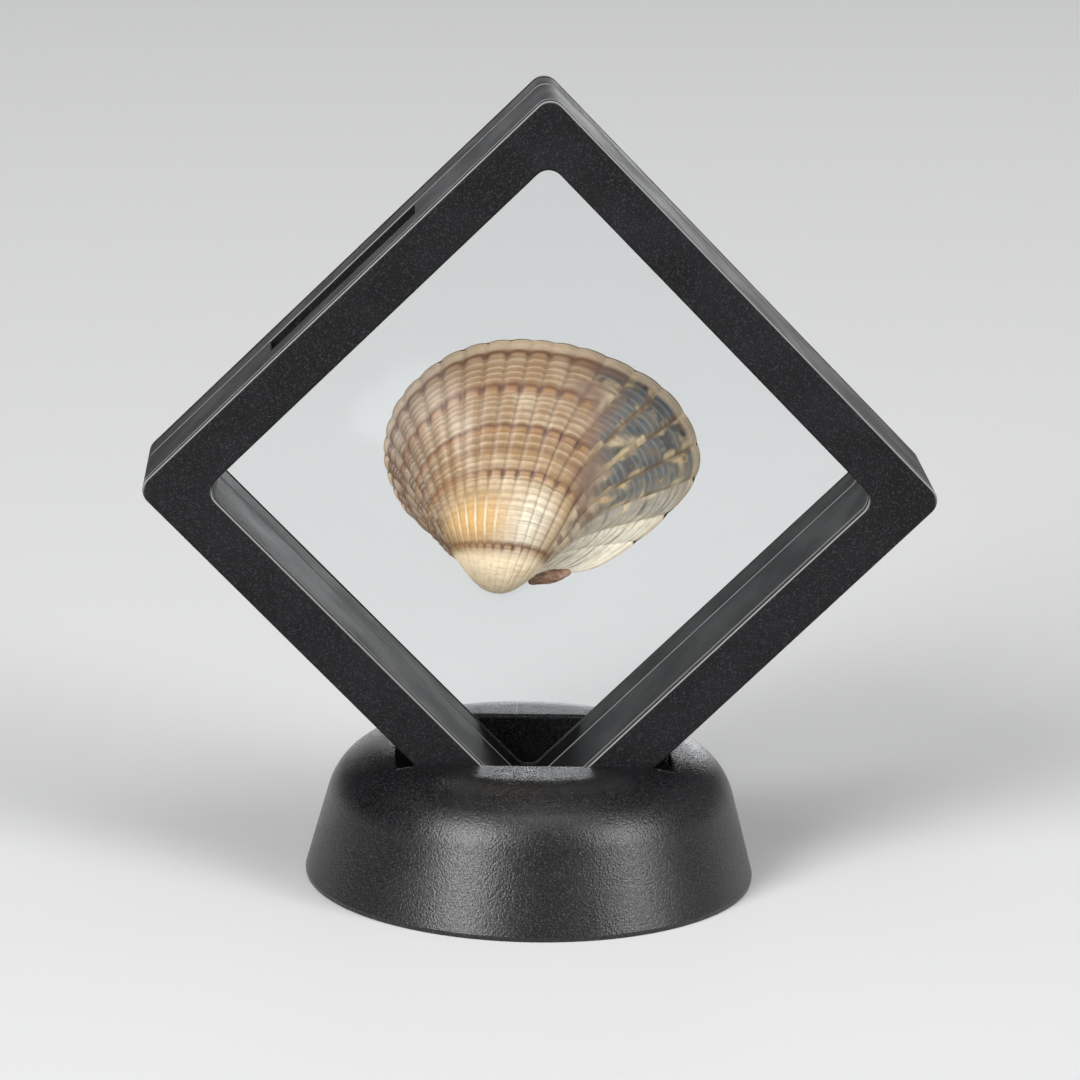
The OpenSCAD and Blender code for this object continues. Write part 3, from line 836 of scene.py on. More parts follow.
    def rear(self, tone):
        """Slate patches with pale threads, cream edges and brown grooves, that reach further
        forward towards the margin, with dark blotches along their front."""
        start = self.mapped(self.growth, 0.5, 0.95, 0.47, 0.2)
        past = self.plus(self.minus(self.fan, start), self.times(self.minus(self.cloud, 0.5), 0.12))
        patch = self.along_growth(self.stage, 13.0, 12.0, 2.5, seed=1.0)
        mottle = self.along_ribs(6.1, 16.0, 5.0, 3.0)
        late = self.mapped(self.growth, 0.55, 0.78)
        spread = self.plus(self.near(self.phase, 0.4, 0.55),
                           self.times(self.minus(mottle, 0.5), 1.6))
        cool = self.times(self.mapped(patch, 0.34, 0.54, 0.1, 1.0),
                          self.plus(self.times(late, 0.65), 0.35))
        ribs = self.mix(self.times(self.mapped(spread, 0.05, 0.5), cool),
                        self.rear_edges(mottle, late), self.slate(mottle))
        broken = self.times(self.mapped(self.groove, 0.3, 0.8), self.mapped(self.cloud, 0.4, 0.6))
        gold = self.times(self.near(patch, 0.37, 0.03), self.mapped(self.fan, 0.5, 0.6))
        for share, layer in ((self.mapped(patch, 0.56, 0.68), PATCH_BROWN),
                             (broken, GROOVE_BROWN), (gold, darker(self.sizes.amber, 0.7))):
            ribs = self.mix(self.times(share, 0.7), ribs, layer)
        tone = self.mix(self.times(self.mapped(past, -0.04, 0.06), 0.95), tone, ribs)
        blotch = self.mapped(self.along_ribs(5.3, 8.0, 7.0), 0.42, 0.52)
        rim = self.times(self.near(past, 0.01, 0.14), blotch, self.mapped(self.growth, 0.45, 0.6))
        return self.mix(self.times(rim, 0.8), tone, BLOTCH)

    def slope(self, tone):
        """Fine streaks along the growth lines of the rear slope."""
        streaks = self.along_growth(self.stage, 4, 40, 5.0, 0.7)
        streaked = self.mix(self.mapped(streaks, 0.36, 0.52), SLOPE_GREY,
                            darker(self.sizes.pale, 0.9))
        streaked = self.mix(self.times(self.near(streaks, 0.62, 0.05), 0.55), streaked, SLOPE_PINK)
        streaked = self.mix(self.times(self.near(streaks, 0.44, 0.03), 0.6), streaked, SLOPE_GOLD)
        return self.mix(self.mapped(self.fan, 0.56, 0.8), tone, streaked)

    def ends(self, tone):
        """Pale margin and beak, checks over the beak, and a fine speckle over all."""
        beak = self.mapped(self.growth, 0.38, 0.33)
        lines = self.mapped(self.along_growth(self.growth, 2, 150, 2.0), 0.52, 0.62)
        checks = self.times(beak, lines, self.mapped(self.cloud, 0.4, 0.6))
        for share, layer in (
                (self.mapped(self.growth, 0.962, 0.975, 0.0, 0.65), MARGIN_TONE),
                (self.times(beak, 0.85), BEAK_TONE), (self.times(checks, 0.5), CHECK_TONE),
                (self.mapped(self.fine, 0.4, 0.7, 0.0, 0.16), darker(self.sizes.tan, 0.7))):
            tone = self.mix(share, tone, layer)
        return tone


def shell_material(sizes):
    """The shell's colours from the ribs up, with fine relief along the growth lines."""
    shade = ShellShader(sizes)
    tone = shade.bands(shade.front(shade.ribs()))
    tone = shade.slope(shade.rear(shade.warm_zone(tone)))
    lines = shade.along_growth(shade.growth, 3, 220, 2.0)
    relief = shade.bump(lines, 0.05 * MM, 0.6)
    return shade.finish(
        Base_Color=shade.ends(tone), Roughness=shade.mapped(shade.fine, 0.2, 0.8, 0.36, 0.54),
        Specular_IOR_Level=0.4, Normal=shade.bump(shade.fine, 0.04 * MM, 0.5, relief))


# ---- The films' shape ----

FILM_STEPS, RELAXING_ROUNDS, OVER_RELAXED = 118, 500, 1.85
# How far the film reaches past the wall inside the case, and where its rays start
FILM_MARGIN = 1.5 * MM
RAY_REACH = 50 * MM


def covered_heights(covered, flat, toward, inner_face, clearance):
    """How far the covered pieces and a clearance stand past the film's inner face, where it
    crosses them, and 0 elsewhere."""
    graph = bpy.context.evaluated_depsgraph_get()
    trees = [BVHTree.FromObject(piece.evaluated_get(graph), graph) for piece in covered]
    heights = np.zeros(flat.shape[:2])
    for place in np.ndindex(heights.shape):
        across, _, up = flat[place]
        start = Vector((across, inner_face + toward * RAY_REACH, up))
        for tree in trees:
            hit = tree.ray_cast(start, Vector((0, -toward, 0)))[0]
            if hit is not None:
                over = (hit.y - inner_face) * toward + clearance
                heights[place] = max(heights[place], over)
    return heights


def film_mesh(name, covered, toward, sizes, case):
    """An elastic film stretched from the frame over the shell, as a thin closed sheet."""
    window = case.side / 2 - case.rail
    half_side = window + case.wall + FILM_MARGIN
    line = np.linspace(-half_side, half_side, FILM_STEPS)
    across, up = np.meshgrid(line, line, indexing="ij")
    flat = placed(np.stack([across, np.zeros_like(across), up], -1))
    inner_face = SEAM + toward * case.seam_gap / 2
    obstacle = covered_heights(covered, flat, toward, inner_face, sizes.clearance)
    free = (np.abs(across) < window) & (np.abs(up) < window)
    height = relaxed(obstacle * free, free)
    skins = []
    for lift in (sizes.thickness, 0.0):
        points = flat.copy()
        points[..., 1] = inner_face + toward * (height + lift)
        skins.append(points.reshape(-1, 3))
    below = FILM_STEPS * FILM_STEPS
    index = np.arange(below).reshape(FILM_STEPS, FILM_STEPS)
    quads = np.stack([index[:-1, :-1], index[1:, :-1], index[1:, 1:], index[:-1, 1:]], -1)
    quads = quads.reshape(-1, 4)
    border = np.concatenate([index[:-1, 0], index[-1, :-1], index[:0:-1, -1], index[0, :0:-1]])
    after = np.roll(border, -1)
    rim = np.stack([border, after, after + below, border + below], -1)
    faces = np.concatenate([quads, quads[:, ::-1] + below, rim])
    return all_smooth(link(name, mesh_from(name, np.concatenate(skins), faces)))


def relaxed(obstacle, free):
    """Heights of a taut membrane held at 0 outside free and lying over the obstacle."""
    height = obstacle.copy()
    rows, columns = np.indices(height.shape)
    squares = [(rows + columns) % 2 == k for k in (0, 1)]
    for _ in range(RELAXING_ROUNDS):
        for half in squares:
            around = (np.roll(height, 1, 0) + np.roll(height, -1, 0)
                      + np.roll(height, 1, 1) + np.roll(height, -1, 1)) / 4
            moved = height + OVER_RELAXED * (around - height)
            height = np.where(half & free, np.maximum(moved, obstacle), height)
    return height


# ---- Studio ----

# Camera: place in millimetres, turn, fall and roll in degrees, and lens
CAMERA_PLACE = (-24.0, -572.0, 185.0)
CAMERA_YAW, CAMERA_PITCH, CAMERA_ROLL = 2.445, 13.90, 1.37
CAMERA_LENS, CAMERA_SENSOR = 157.5, 36.0
FLOOR_REACH = 4.0
LAMP_DISTANCE = 2.0
# Name, direction in degrees to the right and up, size and power of each softbox
LAMPS = (
    ("key_softbox", -40, 36, 0.8, 22), ("key_window", -38, 20, 0.7, 17),
    ("right_softbox", 54, 33, 0.8, 12), ("right_window", 56, 19, 0.7, 11),
    ("right_low", 54, 4, 0.45, 5), ("key_low", -37, 4, 0.45, 9),
    ("top_softbox", 12, 68, 1.0, 6),
)
LAMP_WHITE, SEEN_WHITE = (0.97, 0.985, 1.0), (0.9, 0.9, 0.9)


def make_camera():
    """Long lens, a little above the case and to its left, with a slight roll."""
    yaw, pitch, roll = (math.radians(a) for a in (CAMERA_YAW, CAMERA_PITCH, CAMERA_ROLL))
    forward = Vector((math.sin(yaw) * math.cos(pitch), math.cos(yaw) * math.cos(pitch),
                      -math.sin(pitch)))
    level = Vector((math.cos(yaw), -math.sin(yaw), 0))
    upright = level.cross(forward)
    right = math.cos(roll) * level + math.sin(roll) * upright
    up = -math.sin(roll) * level + math.cos(roll) * upright
    data = bpy.data.cameras.new("camera")
    data.sensor_width, data.lens = CAMERA_SENSOR, CAMERA_LENS
    data.clip_start, data.clip_end = 0.01, 20.0
    camera = link("camera", data)
    turn = Matrix((right, up, -forward)).transposed().to_4x4()
    camera.matrix_world = Matrix.Translation(Vector(CAMERA_PLACE) * MM) @ turn
    bpy.context.scene.camera = camera


def floor_material(studio):
    """Plain pale floor, made a little lighter behind the case by painted light and darker under
    the lamps by painted shade.
    """
    shade = Shader("studio floor")
    clouds = shade.noise(shade.place(), 3.0, 3.0)
    depth = shade.parts(shade.place())["Y"]
    # Painted light: the floor is made lighter further behind the case
    tone = shade.mix(shade.mapped(depth, 0.0, 1.0), studio.floor, darker(studio.floor, 1.2))
    # Painted shade: the floor is made darker in front, under the lamps
    tone = shade.mix(shade.mapped(depth, -0.35, -1.3), tone, darker(studio.floor, 0.45))
    tone = shade.mix(shade.mapped(clouds, 0.3, 0.7, 0, 0.02), tone, (0.6, 0.6, 0.6))
    return shade.finish(Base_Color=tone, Roughness=0.7, Specular_IOR_Level=0.2)


def make_floor(studio):
    corners = [(x * FLOOR_REACH, y * FLOOR_REACH, 0)
               for x, y in ((-1, -1), (1, -1), (1, 1), (-1, 1))]
    floor = link("studio_floor", mesh_from("studio_floor", np.array(corners),
                                           np.array([(0, 1, 2, 3)])))
    floor.data.materials.append(floor_material(studio))


def make_world(studio):
    """Dim light from the sides, brighter from above and from behind. The camera itself sees
    a plain pale background."""
    world = bpy.data.worlds.new("studio")
    world.use_nodes = True
    bpy.context.scene.world = world
    shade = Shader.around(world.node_tree)
    way = shade.parts(shade.node("ShaderNodeTexCoord").outputs["Generated"])
    above = shade.mapped(way["Z"], 0.5, 0.95, 0, studio.scrim)
    behind = shade.times(shade.mapped(way["Y"], 0.925, 0.97, 0, studio.backdrop),
                         shade.mapped(way["X"], -0.22, 0.22, 0.4, 1.6))
    behind = shade.times(behind, shade.mapped(way["Z"], 0.2, 0.1))
    beside = shade.mapped(way["X"], 0.3, 0.9, 0, 1.5 * studio.fill)
    before = shade.mapped(way["Y"], 0.3, -0.5, 0.2 * studio.fill, studio.fill)
    glow = shade.plus(shade.plus(above, behind), shade.plus(beside, before))
    lit = shade.node("ShaderNodeBackground", {"Color": LAMP_WHITE, "Strength": glow})
    seen = shade.node("ShaderNodeBackground", {"Color": SEEN_WHITE})
    both = shade.node("ShaderNodeMixShader")
    rays = shade.node("ShaderNodeLightPath")
    for socket, value in zip(both.inputs, (rays.outputs["Is Camera Ray"], lit.outputs[0],
                                           seen.outputs[0])):
        shade.put(socket, value)
    shade.put(world.node_tree.nodes["World Output"].inputs[0], both.outputs[0])


def make_softbox(name, right, up, size, power):
    """A square lamp that faces the middle of the object."""
    data = bpy.data.lights.new(name, "AREA")
    data.shape, data.size, data.energy = "SQUARE", size, power
    lamp = link(name, data)
    aside, raised = math.radians(right), math.radians(up)
    away = Vector((math.sin(aside) * math.cos(raised), -math.cos(aside) * math.cos(raised),
                   math.sin(raised)))
    lamp.location = Vector((0, 0, CENTRE_HEIGHT / 2)) + away * LAMP_DISTANCE
    lamp.rotation_mode = "QUATERNION"
    lamp.rotation_quaternion = away.to_track_quat("Z", "Y")


# ---- Operators ----

class SHELLCASE_OT_stage(bpy.types.Operator):
    """Makes the camera, the lamps, the light from all round and the plain floor"""
    bl_idname = "shellcase.stage"
    bl_label = "Stage"

    def execute(self, context):
        studio = context.scene.shellcase_studio
        make_camera()
        make_floor(studio)
        make_world(studio)
        for lamp in LAMPS:
            make_softbox(*lamp)
        context.scene.view_settings.view_transform = "Standard"
        return {"FINISHED"}


class SHELLCASE_OT_halves(bpy.types.Operator):
    """Makes the two moulded halves with their beads, grooves, notch, hinge and tabs"""
    bl_idname = "shellcase.halves"
    bl_label = "Case halves"

    def execute(self, context):
        sizes = context.scene.shellcase_case
        # edge sets the grey of the painted highlight on the halves' upper rounded edges
        plastic = moulded_plastic("case plastic", sizes.plastic, grain=0.3 * MM, depth=0.035 * MM,
                                  rough=(0.34, 0.44), gloss=0.12, painted_sparkle=3.4, edge=0.3)
        front = case_half("case_front_half", sizes, FRONT_FACE, -1)
        add_notch(front, sizes)
        add_knuckles(front, sizes, range(0, KNUCKLES, 2), -1)
        rear = case_half("case_rear_half", sizes, REAR_FACE, 1)
        add_knuckles(rear, sizes, range(1, KNUCKLES, 2), 1)
        add_snap_tabs(rear, sizes)
        for piece, node, body in ((front, "front_frame", "case"), (rear, "rear_frame", "lid")):
            smoothed(piece)
            piece.data.materials.append(plastic)
            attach(piece, body)
            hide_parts(node)
        return {"FINISHED"}


# Knuckles of the hinge, edge radii, the webs' reach past the knuckles and the snap bead
KNUCKLES = 5
FINE_EDGE, SOFT_EDGE, TAB_EDGE = 0.05 * MM, 0.12 * MM, 0.15 * MM
WEB_REACH, SNAP_BEAD = 1 * MM, 0.2 * MM


def case_half(name, sizes, face, side):
    """One half: a channel in the round of the window, open at the seam."""
    mouth = SEAM + side * sizes.seam_gap / 2
    ledge = mouth + side * sizes.film
    back = face - side * sizes.wall
    near = face - side * sizes.plate
    far = near - side * sizes.groove_width
    cut, rail, wall = sizes.groove, sizes.rail, sizes.wall
    corners = [
        (0, mouth), (0, far), (cut, far), (cut, near), (0, near), (0, face),
        (rail, face), (rail, near), (rail - cut, near), (rail - cut, far), (rail, far),
        (rail, ledge), (rail - wall, ledge), (rail - wall, back), (wall, back), (wall, mouth),
    ]
    fine, soft, bead, lip = FINE_EDGE, SOFT_EDGE, sizes.bead, sizes.mouth_round
    radii = [lip, soft, fine, fine, fine, bead, bead, fine, fine, fine, soft,
             lip, fine, 2 * fine, 2 * fine, fine]
    rings = []
    for inward, deep in rounded_corners(corners, radii):
        radius = sizes.corner + (sizes.window_corner - sizes.corner) * inward / rail
        loop = rounded_square(sizes.side / 2 - inward, radius)
        rings.append([(x, deep, z) for x, z in loop])
    return ring_solid(name, placed(rings))


def add_notch(front, sizes):
    """The finger notch: a pocket with its own walls and a softened rim."""
    half = sizes.side / 2
    mouth = SEAM - sizes.seam_gap / 2
    start = mouth - sizes.notch_reach
    reach = sizes.notch / 2
    wall = sizes.notch_wall
    block = soft_block("notch_block", (-half + sizes.wall / 2, start - wall, -reach - wall),
                       (-half + sizes.notch_depth + wall, mouth - sizes.film, reach + wall),
                       TAB_EDGE)
    combined(front, block, "UNION")
    rim, corner, floor, beyond = 0.3 * MM, 0.7 * MM, 0.35 * MM, 1 * MM
    rings = []
    # Depth from the wall's outside and how far the pocket's sides spread there
    for deep, spread in ((-beyond, rim + beyond), (0, rim), (0.08 * MM, 0.14 * MM),
                         (rim, 0), (sizes.notch_depth - floor, 0),
                         (sizes.notch_depth - floor * 0.3, -floor * 0.3),
                         (sizes.notch_depth, -floor)):
        low = (0, start - spread, -reach - spread)
        high = (0, mouth + beyond, reach + spread)
        rings.append(block_ring(-half + deep, low, high, 0, corner))
    return combined(front, lofted("notch_cutter", placed(rings)), "DIFFERENCE")


def along_side():
    """Unit vector along the sides that carry the hinge and the notch."""
    return placed_point(0, 0, 1) - placed_point(0, 0, 0)


def add_knuckles(piece, sizes, numbers, side):
    """Hinge knuckles with their webs, the relief for the other half's, and the pin's bore."""
    out = sizes.side / 2 + sizes.hinge_out
    pitch = sizes.knuckle + sizes.hinge_gap
    radius = sizes.knuckle_round / 2
    places = [(number - (KNUCKLES - 1) / 2) * pitch for number in range(KNUCKLES)]
    for number, along in enumerate(places):
        if number not in numbers:
            relief = soft_rod("hinge_relief", placed_point(out, SEAM, along), along_side(),
                              radius + sizes.hinge_gap, sizes.knuckle + 2 * sizes.hinge_gap,
                              0.1 * MM)
            combined(piece, relief, "DIFFERENCE")
    near, far = sorted((SEAM + side * sizes.seam_gap / 2, SEAM + side * (radius + WEB_REACH)))
    for number in numbers:
        along = places[number]
        block = soft_block("hinge_web", (sizes.side / 2 - sizes.wall / 2, near,
                                         along - sizes.knuckle / 2),
                           (out, far, along + sizes.knuckle / 2), SOFT_EDGE)
        combined(piece, block, "UNION")
        rod = soft_rod("hinge_knuckle", placed_point(out, SEAM, along), along_side(), radius,
                       sizes.knuckle, 0.18 * MM)
        combined(piece, rod, "UNION")
    bore = soft_rod("pin_bore", placed_point(out, SEAM, 0), along_side(), sizes.pin / 2,
                    KNUCKLES * pitch + 1 * MM, FINE_EDGE)
    return combined(piece, bore, "DIFFERENCE")


def add_snap_tabs(rear, sizes):
    """Two tongues beside the notch that reach into the front half."""
    outer = -(sizes.side / 2 - sizes.wall - sizes.tab_gap)
    front = SEAM - sizes.seam_gap / 2 - sizes.tab_reach
    along = sizes.notch / 2 + sizes.notch_wall + 1 * MM + sizes.tab / 2
    for side in (-1, 1):
        block = soft_block("snap_tab", (outer, front, side * along - sizes.tab / 2),
                           (outer + sizes.tab_thick, REAR_FACE - sizes.wall / 2,
                            side * along + sizes.tab / 2), TAB_EDGE)
        combined(rear, block, "UNION")
        bead = soft_rod("snap_bead", placed_point(outer, front + 2 * SNAP_BEAD, side * along),
                        along_side(), SNAP_BEAD, sizes.tab * 0.96, FINE_EDGE, 16)
        combined(rear, bead, "UNION")
    return rear


class SHELLCASE_OT_stand(bpy.types.Operator):
    """Makes the round stand with its slot, soft lip and hollow underside"""
    bl_idname = "shellcase.stand"
    bl_label = "Stand"

    def execute(self, context):
        sizes = context.scene.shellcase_stand
        rings = stand_rings(sizes, context.scene.shellcase_case.side)
        piece = lofted("stand_moulding", rings)
        smoothed(piece)
        piece.data.materials.append(moulded_plastic(
            "stand plastic", sizes.plastic, grain=0.27 * MM, depth=0.065 * MM,
            rough=(0.19, 0.24), gloss=0.5, painted_sparkle=9))
        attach(piece, "stand")
        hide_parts("stand")
        return {"FINISHED"}


# Radius of the slot's corners and of the fillets, and the angle from the level at which the
# flat-sampled top turns into the round shoulder
SLOT_CORNER, SLOT_FILLET, FOOT_FILLET, FOOT_RIM = 0.6 * MM, 0.4 * MM, 0.25 * MM, 0.16 * MM
SHOULDER_MEET = math.radians(46)
# Steps round the stand, with extra ones this close to the slot's corners, and a far distance
STEP_ROUND, CORNER_FAN, CORNER_STEPS = math.radians(2.4), 0.045, 4
FAR_AWAY, NEARLY_ZERO = 9, 1e-9


class StandProfile:
    """Half profile of the stand, each wall moved in by inset."""

    def __init__(self, sizes, inset):
        self.radius = sizes.shoulder - inset
        self.top = sizes.height - inset
        self.centre_z = self.top - self.radius
        self.foot = sizes.diameter / 2 - inset
        drop = self.centre_z - sizes.foot
        self.centre_r = (self.foot - drop * math.tan(sizes.slant)
                         - self.radius / math.cos(sizes.slant))

    def height_at(self, r):
        """Height of the top and shoulder at distance r from the middle."""
        past = np.clip(r - self.centre_r, 0, self.radius)
        return self.centre_z + np.sqrt(self.radius ** 2 - past ** 2)

    def shoulder(self, angle):
        """Radius and height of the round shoulder at an angle from the level."""
        return (self.centre_r + self.radius * math.cos(angle),
                self.centre_z + self.radius * math.sin(angle))


class StandSlot:
    """The V-shaped slot. Its outline is a rectangle with rounded corners, sampled in the
    directions that all the stand's rings share."""

    def __init__(self, sizes, case_side):
        self.sizes = sizes
        self.case_tip = CENTRE_HEIGHT - case_side / 2 * math.sqrt(2)
        self.front, self.rear = FRONT_FACE - sizes.front_gap, REAR_FACE + sizes.rear_gap
        self.directions = directions(sizes.slot / 2, self.front, self.rear)

    def half_length(self, z, grow):
        """Half the slot's length at a height: a V up to the flare, then out to the mouth."""
        sizes = self.sizes
        tip = self.case_tip - (sizes.seat_gap + grow) * math.sqrt(2)
        if z <= sizes.flare:
            return z - tip
        share = (z - sizes.flare) / (sizes.height - sizes.flare)
        return (sizes.flare - tip) * (1 - share) + (sizes.slot / 2 + grow) * share

    def outline(self, half_length, grow):
        """Flat points round the slot, grown by a wall or drawn in where grow is below 0."""
        low, high = self.front - grow, self.rear + grow
        return np.array([slot_point(direction, half_length, low, high, SLOT_CORNER)
                         for direction in self.directions])

    def mouth(self, grow):
        return self.outline(self.sizes.slot / 2 + grow, grow)

    def ring(self, z, grow, inset=0):
        """The slot's outline at a height, drawn in by a fillet's inset."""
        return risen(self.outline(self.half_length(z, grow) - inset, grow - inset), z)


def risen(flat, z):
    """Flat points at one height or at a height each."""
    return np.column_stack([flat, np.broadcast_to(z, (len(flat),))])


def spanned(start, end, profile, steps):
    """Rings from one flat outline to another, at the heights of the profile's top."""
    flats = [start * (1 - share) + end * share for share in np.linspace(0, 1, steps)[1:]]
    return [risen(flat, profile.height_at(np.linalg.norm(flat, axis=1))) for flat in flats]


def stand_rings(sizes, case_side):
    """Rings from the slot's floor up its walls, over the lip, down the outside, round the
    foot, up the inside and down the outside of the slot's pocket."""
    outer, inner = StandProfile(sizes, 0), StandProfile(sizes, sizes.wall)
    slot = StandSlot(sizes, case_side)
    angles = [math.atan2(y, x) for x, y in slot.mouth(0)]
    circle = np.column_stack([np.cos(angles), np.sin(angles)])
    rings = [slot.ring(z, 0, inset) for z, inset in (
        (sizes.floor, SLOT_FILLET), (sizes.floor + 0.12 * MM, 0.12 * MM),
        (sizes.floor + SLOT_FILLET, 0), (sizes.flare * 0.5, 0), (sizes.flare, 0))]
    # Lip
    for angle in np.linspace(0, math.pi / 2, 7):
        flat = slot.mouth(sizes.lip * (1 - math.cos(angle)))
        surface = outer.height_at(np.linalg.norm(flat, axis=1))
        rings.append(risen(flat, surface - sizes.lip * (1 - math.sin(angle))))
    # Top, shoulder, side and foot, then the foot's inside and the underside
    rings += spanned(rings[-1][:, :2], circle * outer.shoulder(SHOULDER_MEET)[0], outer, 9)
    outline = [outer.shoulder(a) for a in np.linspace(SHOULDER_MEET, sizes.slant, 14)[1:]]
    outline += foot_outline(outer.foot, sizes.foot, FOOT_RIM, sizes.slant)
    outline += [(inner.foot + FOOT_FILLET, 0), (inner.foot, FOOT_FILLET), (inner.foot, sizes.foot)]
    outline += [inner.shoulder(a) for a in np.linspace(sizes.slant, SHOULDER_MEET, 10)]
    rings += [risen(circle * radius, z) for radius, z in outline]
    # Outside of the slot's pocket
    grow = sizes.pocket
    low = sizes.floor - grow
    rings += spanned(rings[-1][:, :2], slot.mouth(grow), inner, 7)
    rings += [slot.ring(z, grow) for z in (sizes.flare, sizes.flare * 0.5, low + 0.3 * MM)]
    return rings + [slot.ring(low, grow, FOOT_FILLET)]


def foot_outline(foot, band, rim, slant):
    """The slanted side's end, the rounded rim and the upright band down to the table."""
    edge = [(foot - band * 2 * math.tan(slant), band * 3)]
    for angle in np.linspace(slant, -0.3, 5):
        edge.append((foot - rim + rim * math.cos(angle), band + rim * math.sin(angle)))
    edge += [(foot - rim * 0.3, band - 2.2 * rim), (foot - rim * 0.3, rim)]
    edge += [(foot - rim * 0.6, rim * 0.3), (foot - rim * 1.3, 0)]
    return edge


def directions(half_length, low, high):
    """Angles round the stand: even, with extra ones close to the slot's four corners."""
    corners = [math.atan2(y, x) % (2 * math.pi) for x, y in
               ((half_length, high), (-half_length, high), (-half_length, low), (half_length, low))]
    angles = set()
    for i, corner in enumerate(corners):
        after = corners[(i + 1) % 4] + (2 * math.pi if i == 3 else 0)
        for k in range(-CORNER_STEPS, CORNER_STEPS + 1):
            angles.add(round(corner + CORNER_FAN * k / CORNER_STEPS, 6))
        between = after - corner - 2 * CORNER_FAN
        count = int(between / STEP_ROUND)
        for k in range(1, count):
            angles.add(round(corner + CORNER_FAN + between * k / count, 6))
    return sorted(angles)


def slot_point(direction, half_length, low, high, radius):
    """Where a ray from the middle leaves a rectangle with rounded corners."""
    dx, dy = math.cos(direction), math.sin(direction)
    reach = min(half_length / abs(dx) if abs(dx) > NEARLY_ZERO else FAR_AWAY,
                (high / dy if dy > 0 else low / dy) if abs(dy) > NEARLY_ZERO else FAR_AWAY)
    x, y = dx * reach, dy * reach
    cx = math.copysign(half_length - radius, dx)
    cy = high - radius if dy > 0 else low + radius
    if abs(x) > abs(cx) and abs(y) > abs(cy):
        along = cx * dx + cy * dy
        off = cx * cx + cy * cy - along * along
        reach = along + math.sqrt(max(radius * radius - off, 0))
        x, y = dx * reach, dy * reach
    return x, y


class SHELLCASE_OT_fittings(bpy.types.Operator):
    """Gives the film rings and the hinge pin their finish"""
    bl_idname = "shellcase.fittings"
    bl_label = "Film rings and hinge pin"

    def execute(self, context):
        sizes = context.scene.shellcase_case
        ring_plastic = moulded_plastic("ring plastic", sizes.plastic, grain=0.3 * MM,
                                       depth=0.02 * MM, rough=(0.3, 0.4), gloss=0.32, painted_sparkle=3)
        finishes = {"front_film_ring": ring_plastic, "rear_film_ring": ring_plastic,
                    "hinge_pin": steel()}
        for node, finish in finishes.items():
            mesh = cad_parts[node].data
            mesh.materials.clear()
            mesh.materials.append(finish)
        return {"FINISHED"}


class SHELLCASE_OT_shell(bpy.types.Operator):
    """Makes the two ribbed valves of the cockle and the horny ligament"""
    bl_idname = "shellcase.shell"
    bl_label = "Seashell"

    def execute(self, context):
        sizes = context.scene.shellcase_shell
        finish = shell_material(sizes)
        for name, node, toward in (("cockle_front_valve", "front_valve", -1),
                                   ("cockle_rear_valve", "rear_valve", 1)):
            piece = valve_mesh(name, Valve(sizes, toward))
            piece.data.materials.append(finish)
            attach(piece, "case")
            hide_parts(node)
        make_ligament()
        return {"FINISHED"}


# The ligament's place from the middle of the plain band, its tilt, and its share of the band
LIGAMENT_SHIFT = Vector((-1.0, 0, 0.75)) * MM
LIGAMENT_TILT = math.radians(15)
LIGAMENT_LENGTH, LIGAMENT_RADIUS, LIGAMENT_FLATNESS = 1.12, 1.3, 0.8
LIGAMENT_LIGHT, LIGAMENT_DARK = (0.45, 0.28, 0.19), (0.13, 0.06, 0.035)
LIGAMENT_END, LIGAMENT_RINGS, LIGAMENT_SIDES = 0.985, 42, 48


def make_ligament():
    """A lumpy spindle with lengthwise folds, in the place of the plain band."""
    low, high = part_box("ligament")
    middle, half = (low + high) / 2 + LIGAMENT_SHIFT, (high - low) / 2
    axis = Vector((math.cos(LIGAMENT_TILT), 0, math.sin(LIGAMENT_TILT)))
    beside = Vector((0, 1, 0))
    upward = beside.cross(axis)
    reach, radius = half.x * LIGAMENT_LENGTH, half.y * LIGAMENT_RADIUS
    rings = []
    for t in np.linspace(-LIGAMENT_END, LIGAMENT_END, LIGAMENT_RINGS):
        swell = math.sqrt(1 - t * t) ** 0.75 * (1 + 0.1 * math.sin(5 * t + 1))
        ring = []
        for angle in np.linspace(0, 2 * math.pi, LIGAMENT_SIDES, endpoint=False):
            fold = 1 + 0.05 * math.sin(7 * angle + 3 * t) + 0.03 * math.sin(19 * t + 2 * angle)
            r = min(radius * 0.92 * swell * fold, radius)
            ring.append(middle + axis * (t * reach) + beside * (r * math.cos(angle))
                        + upward * (LIGAMENT_FLATNESS * r * math.sin(angle)))
        rings.append([tuple(p) for p in ring])
    piece = all_smooth(lofted("cockle_ligament", rings))
    piece.data.materials.append(ligament_material())
    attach(piece, "case")
    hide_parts("ligament")


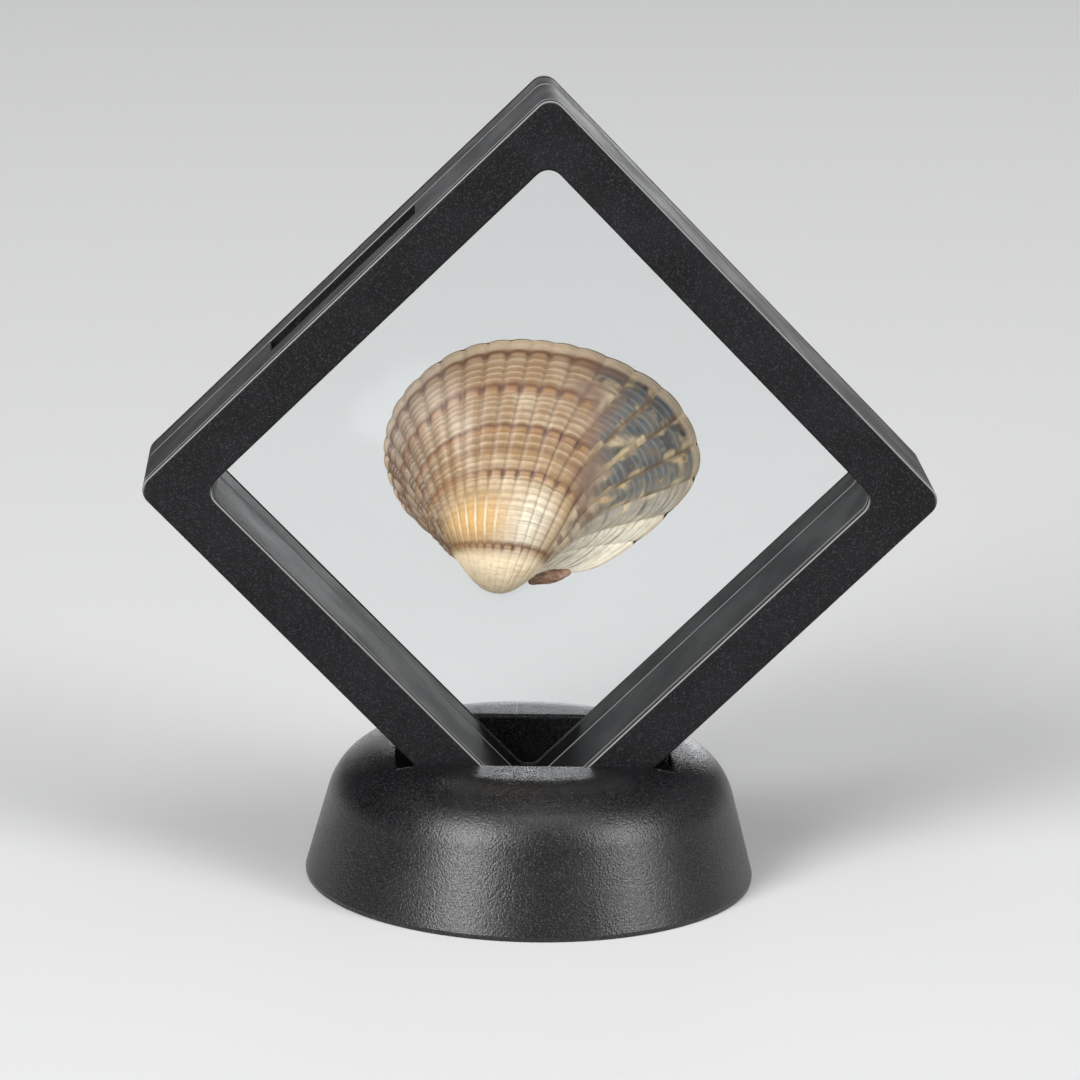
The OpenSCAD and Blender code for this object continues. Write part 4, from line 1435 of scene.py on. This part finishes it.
def ligament_material():
    """Horny brown, streaked and creased."""
    shade = Shader("ligament")
    streaks = shade.noise(shade.place(), 900.0, 4.0, 0.6)
    tone = shade.mix(shade.mapped(streaks, 0.35, 0.65), LIGAMENT_DARK, LIGAMENT_LIGHT)
    return shade.finish(Base_Color=tone, Roughness=shade.mapped(streaks, 0.3, 0.7, 0.3, 0.55),
                        Normal=shade.bump(streaks, 0.1 * MM, 0.7))


class SHELLCASE_OT_films(bpy.types.Operator):
    """Stretches the two clear elastic films over the shell"""
    bl_idname = "shellcase.films"
    bl_label = "Elastic films"

    def execute(self, context):
        sizes, case = context.scene.shellcase_film, context.scene.shellcase_case
        finish = clear_film(sizes.shine)
        for name, shell, node, body, toward in (
                ("film_front", "cockle_front_valve", "front_film", "case", -1),
                ("film_rear", "cockle_rear_valve", "rear_film", "lid", 1)):
            covered = [bpy.data.objects[shell], bpy.data.objects["cockle_ligament"]]
            piece = film_mesh(name, covered, toward, sizes, case)
            piece.data.materials.append(finish)
            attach(piece, body)
            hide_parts(node)
        return {"FINISHED"}


class SHELLCASE_PT_panel(bpy.types.Panel):
    """Lists the operators, and the sizes and colours that they use"""
    bl_label = "Seashell display case"
    bl_idname = "SHELLCASE_PT_panel"
    bl_space_type = "VIEW_3D"
    bl_region_type = "UI"
    bl_category = "Shell case"

    def draw(self, context):
        for step in STEPS:
            self.layout.operator(step.bl_idname)
        for name, group in GROUPS.items():
            column = self.layout.column()
            for key in group.__annotations__:
                column.prop(getattr(context.scene, name), key)


GROUPS = {
    "shellcase_case": CaseSizes,
    "shellcase_stand": StandSizes,
    "shellcase_shell": ShellSizes,
    "shellcase_film": FilmSizes,
    "shellcase_studio": StudioSizes,
}
STEPS = (SHELLCASE_OT_stage, SHELLCASE_OT_stand, SHELLCASE_OT_halves, SHELLCASE_OT_fittings,
         SHELLCASE_OT_shell, SHELLCASE_OT_films)
CLASSES = (*GROUPS.values(), *STEPS, SHELLCASE_PT_panel)


def register():
    for made in CLASSES:
        bpy.utils.register_class(made)
    for name, group in GROUPS.items():
        setattr(bpy.types.Scene, name, bpy.props.PointerProperty(type=group))


def unregister():
    for name in GROUPS:
        delattr(bpy.types.Scene, name)
    for made in reversed(CLASSES):
        bpy.utils.unregister_class(made)


def main():
    register()
    for step in STEPS:
        category, name = step.bl_idname.split(".")
        getattr(getattr(bpy.ops, category), name)()


if __name__ == "__main__":
    main()
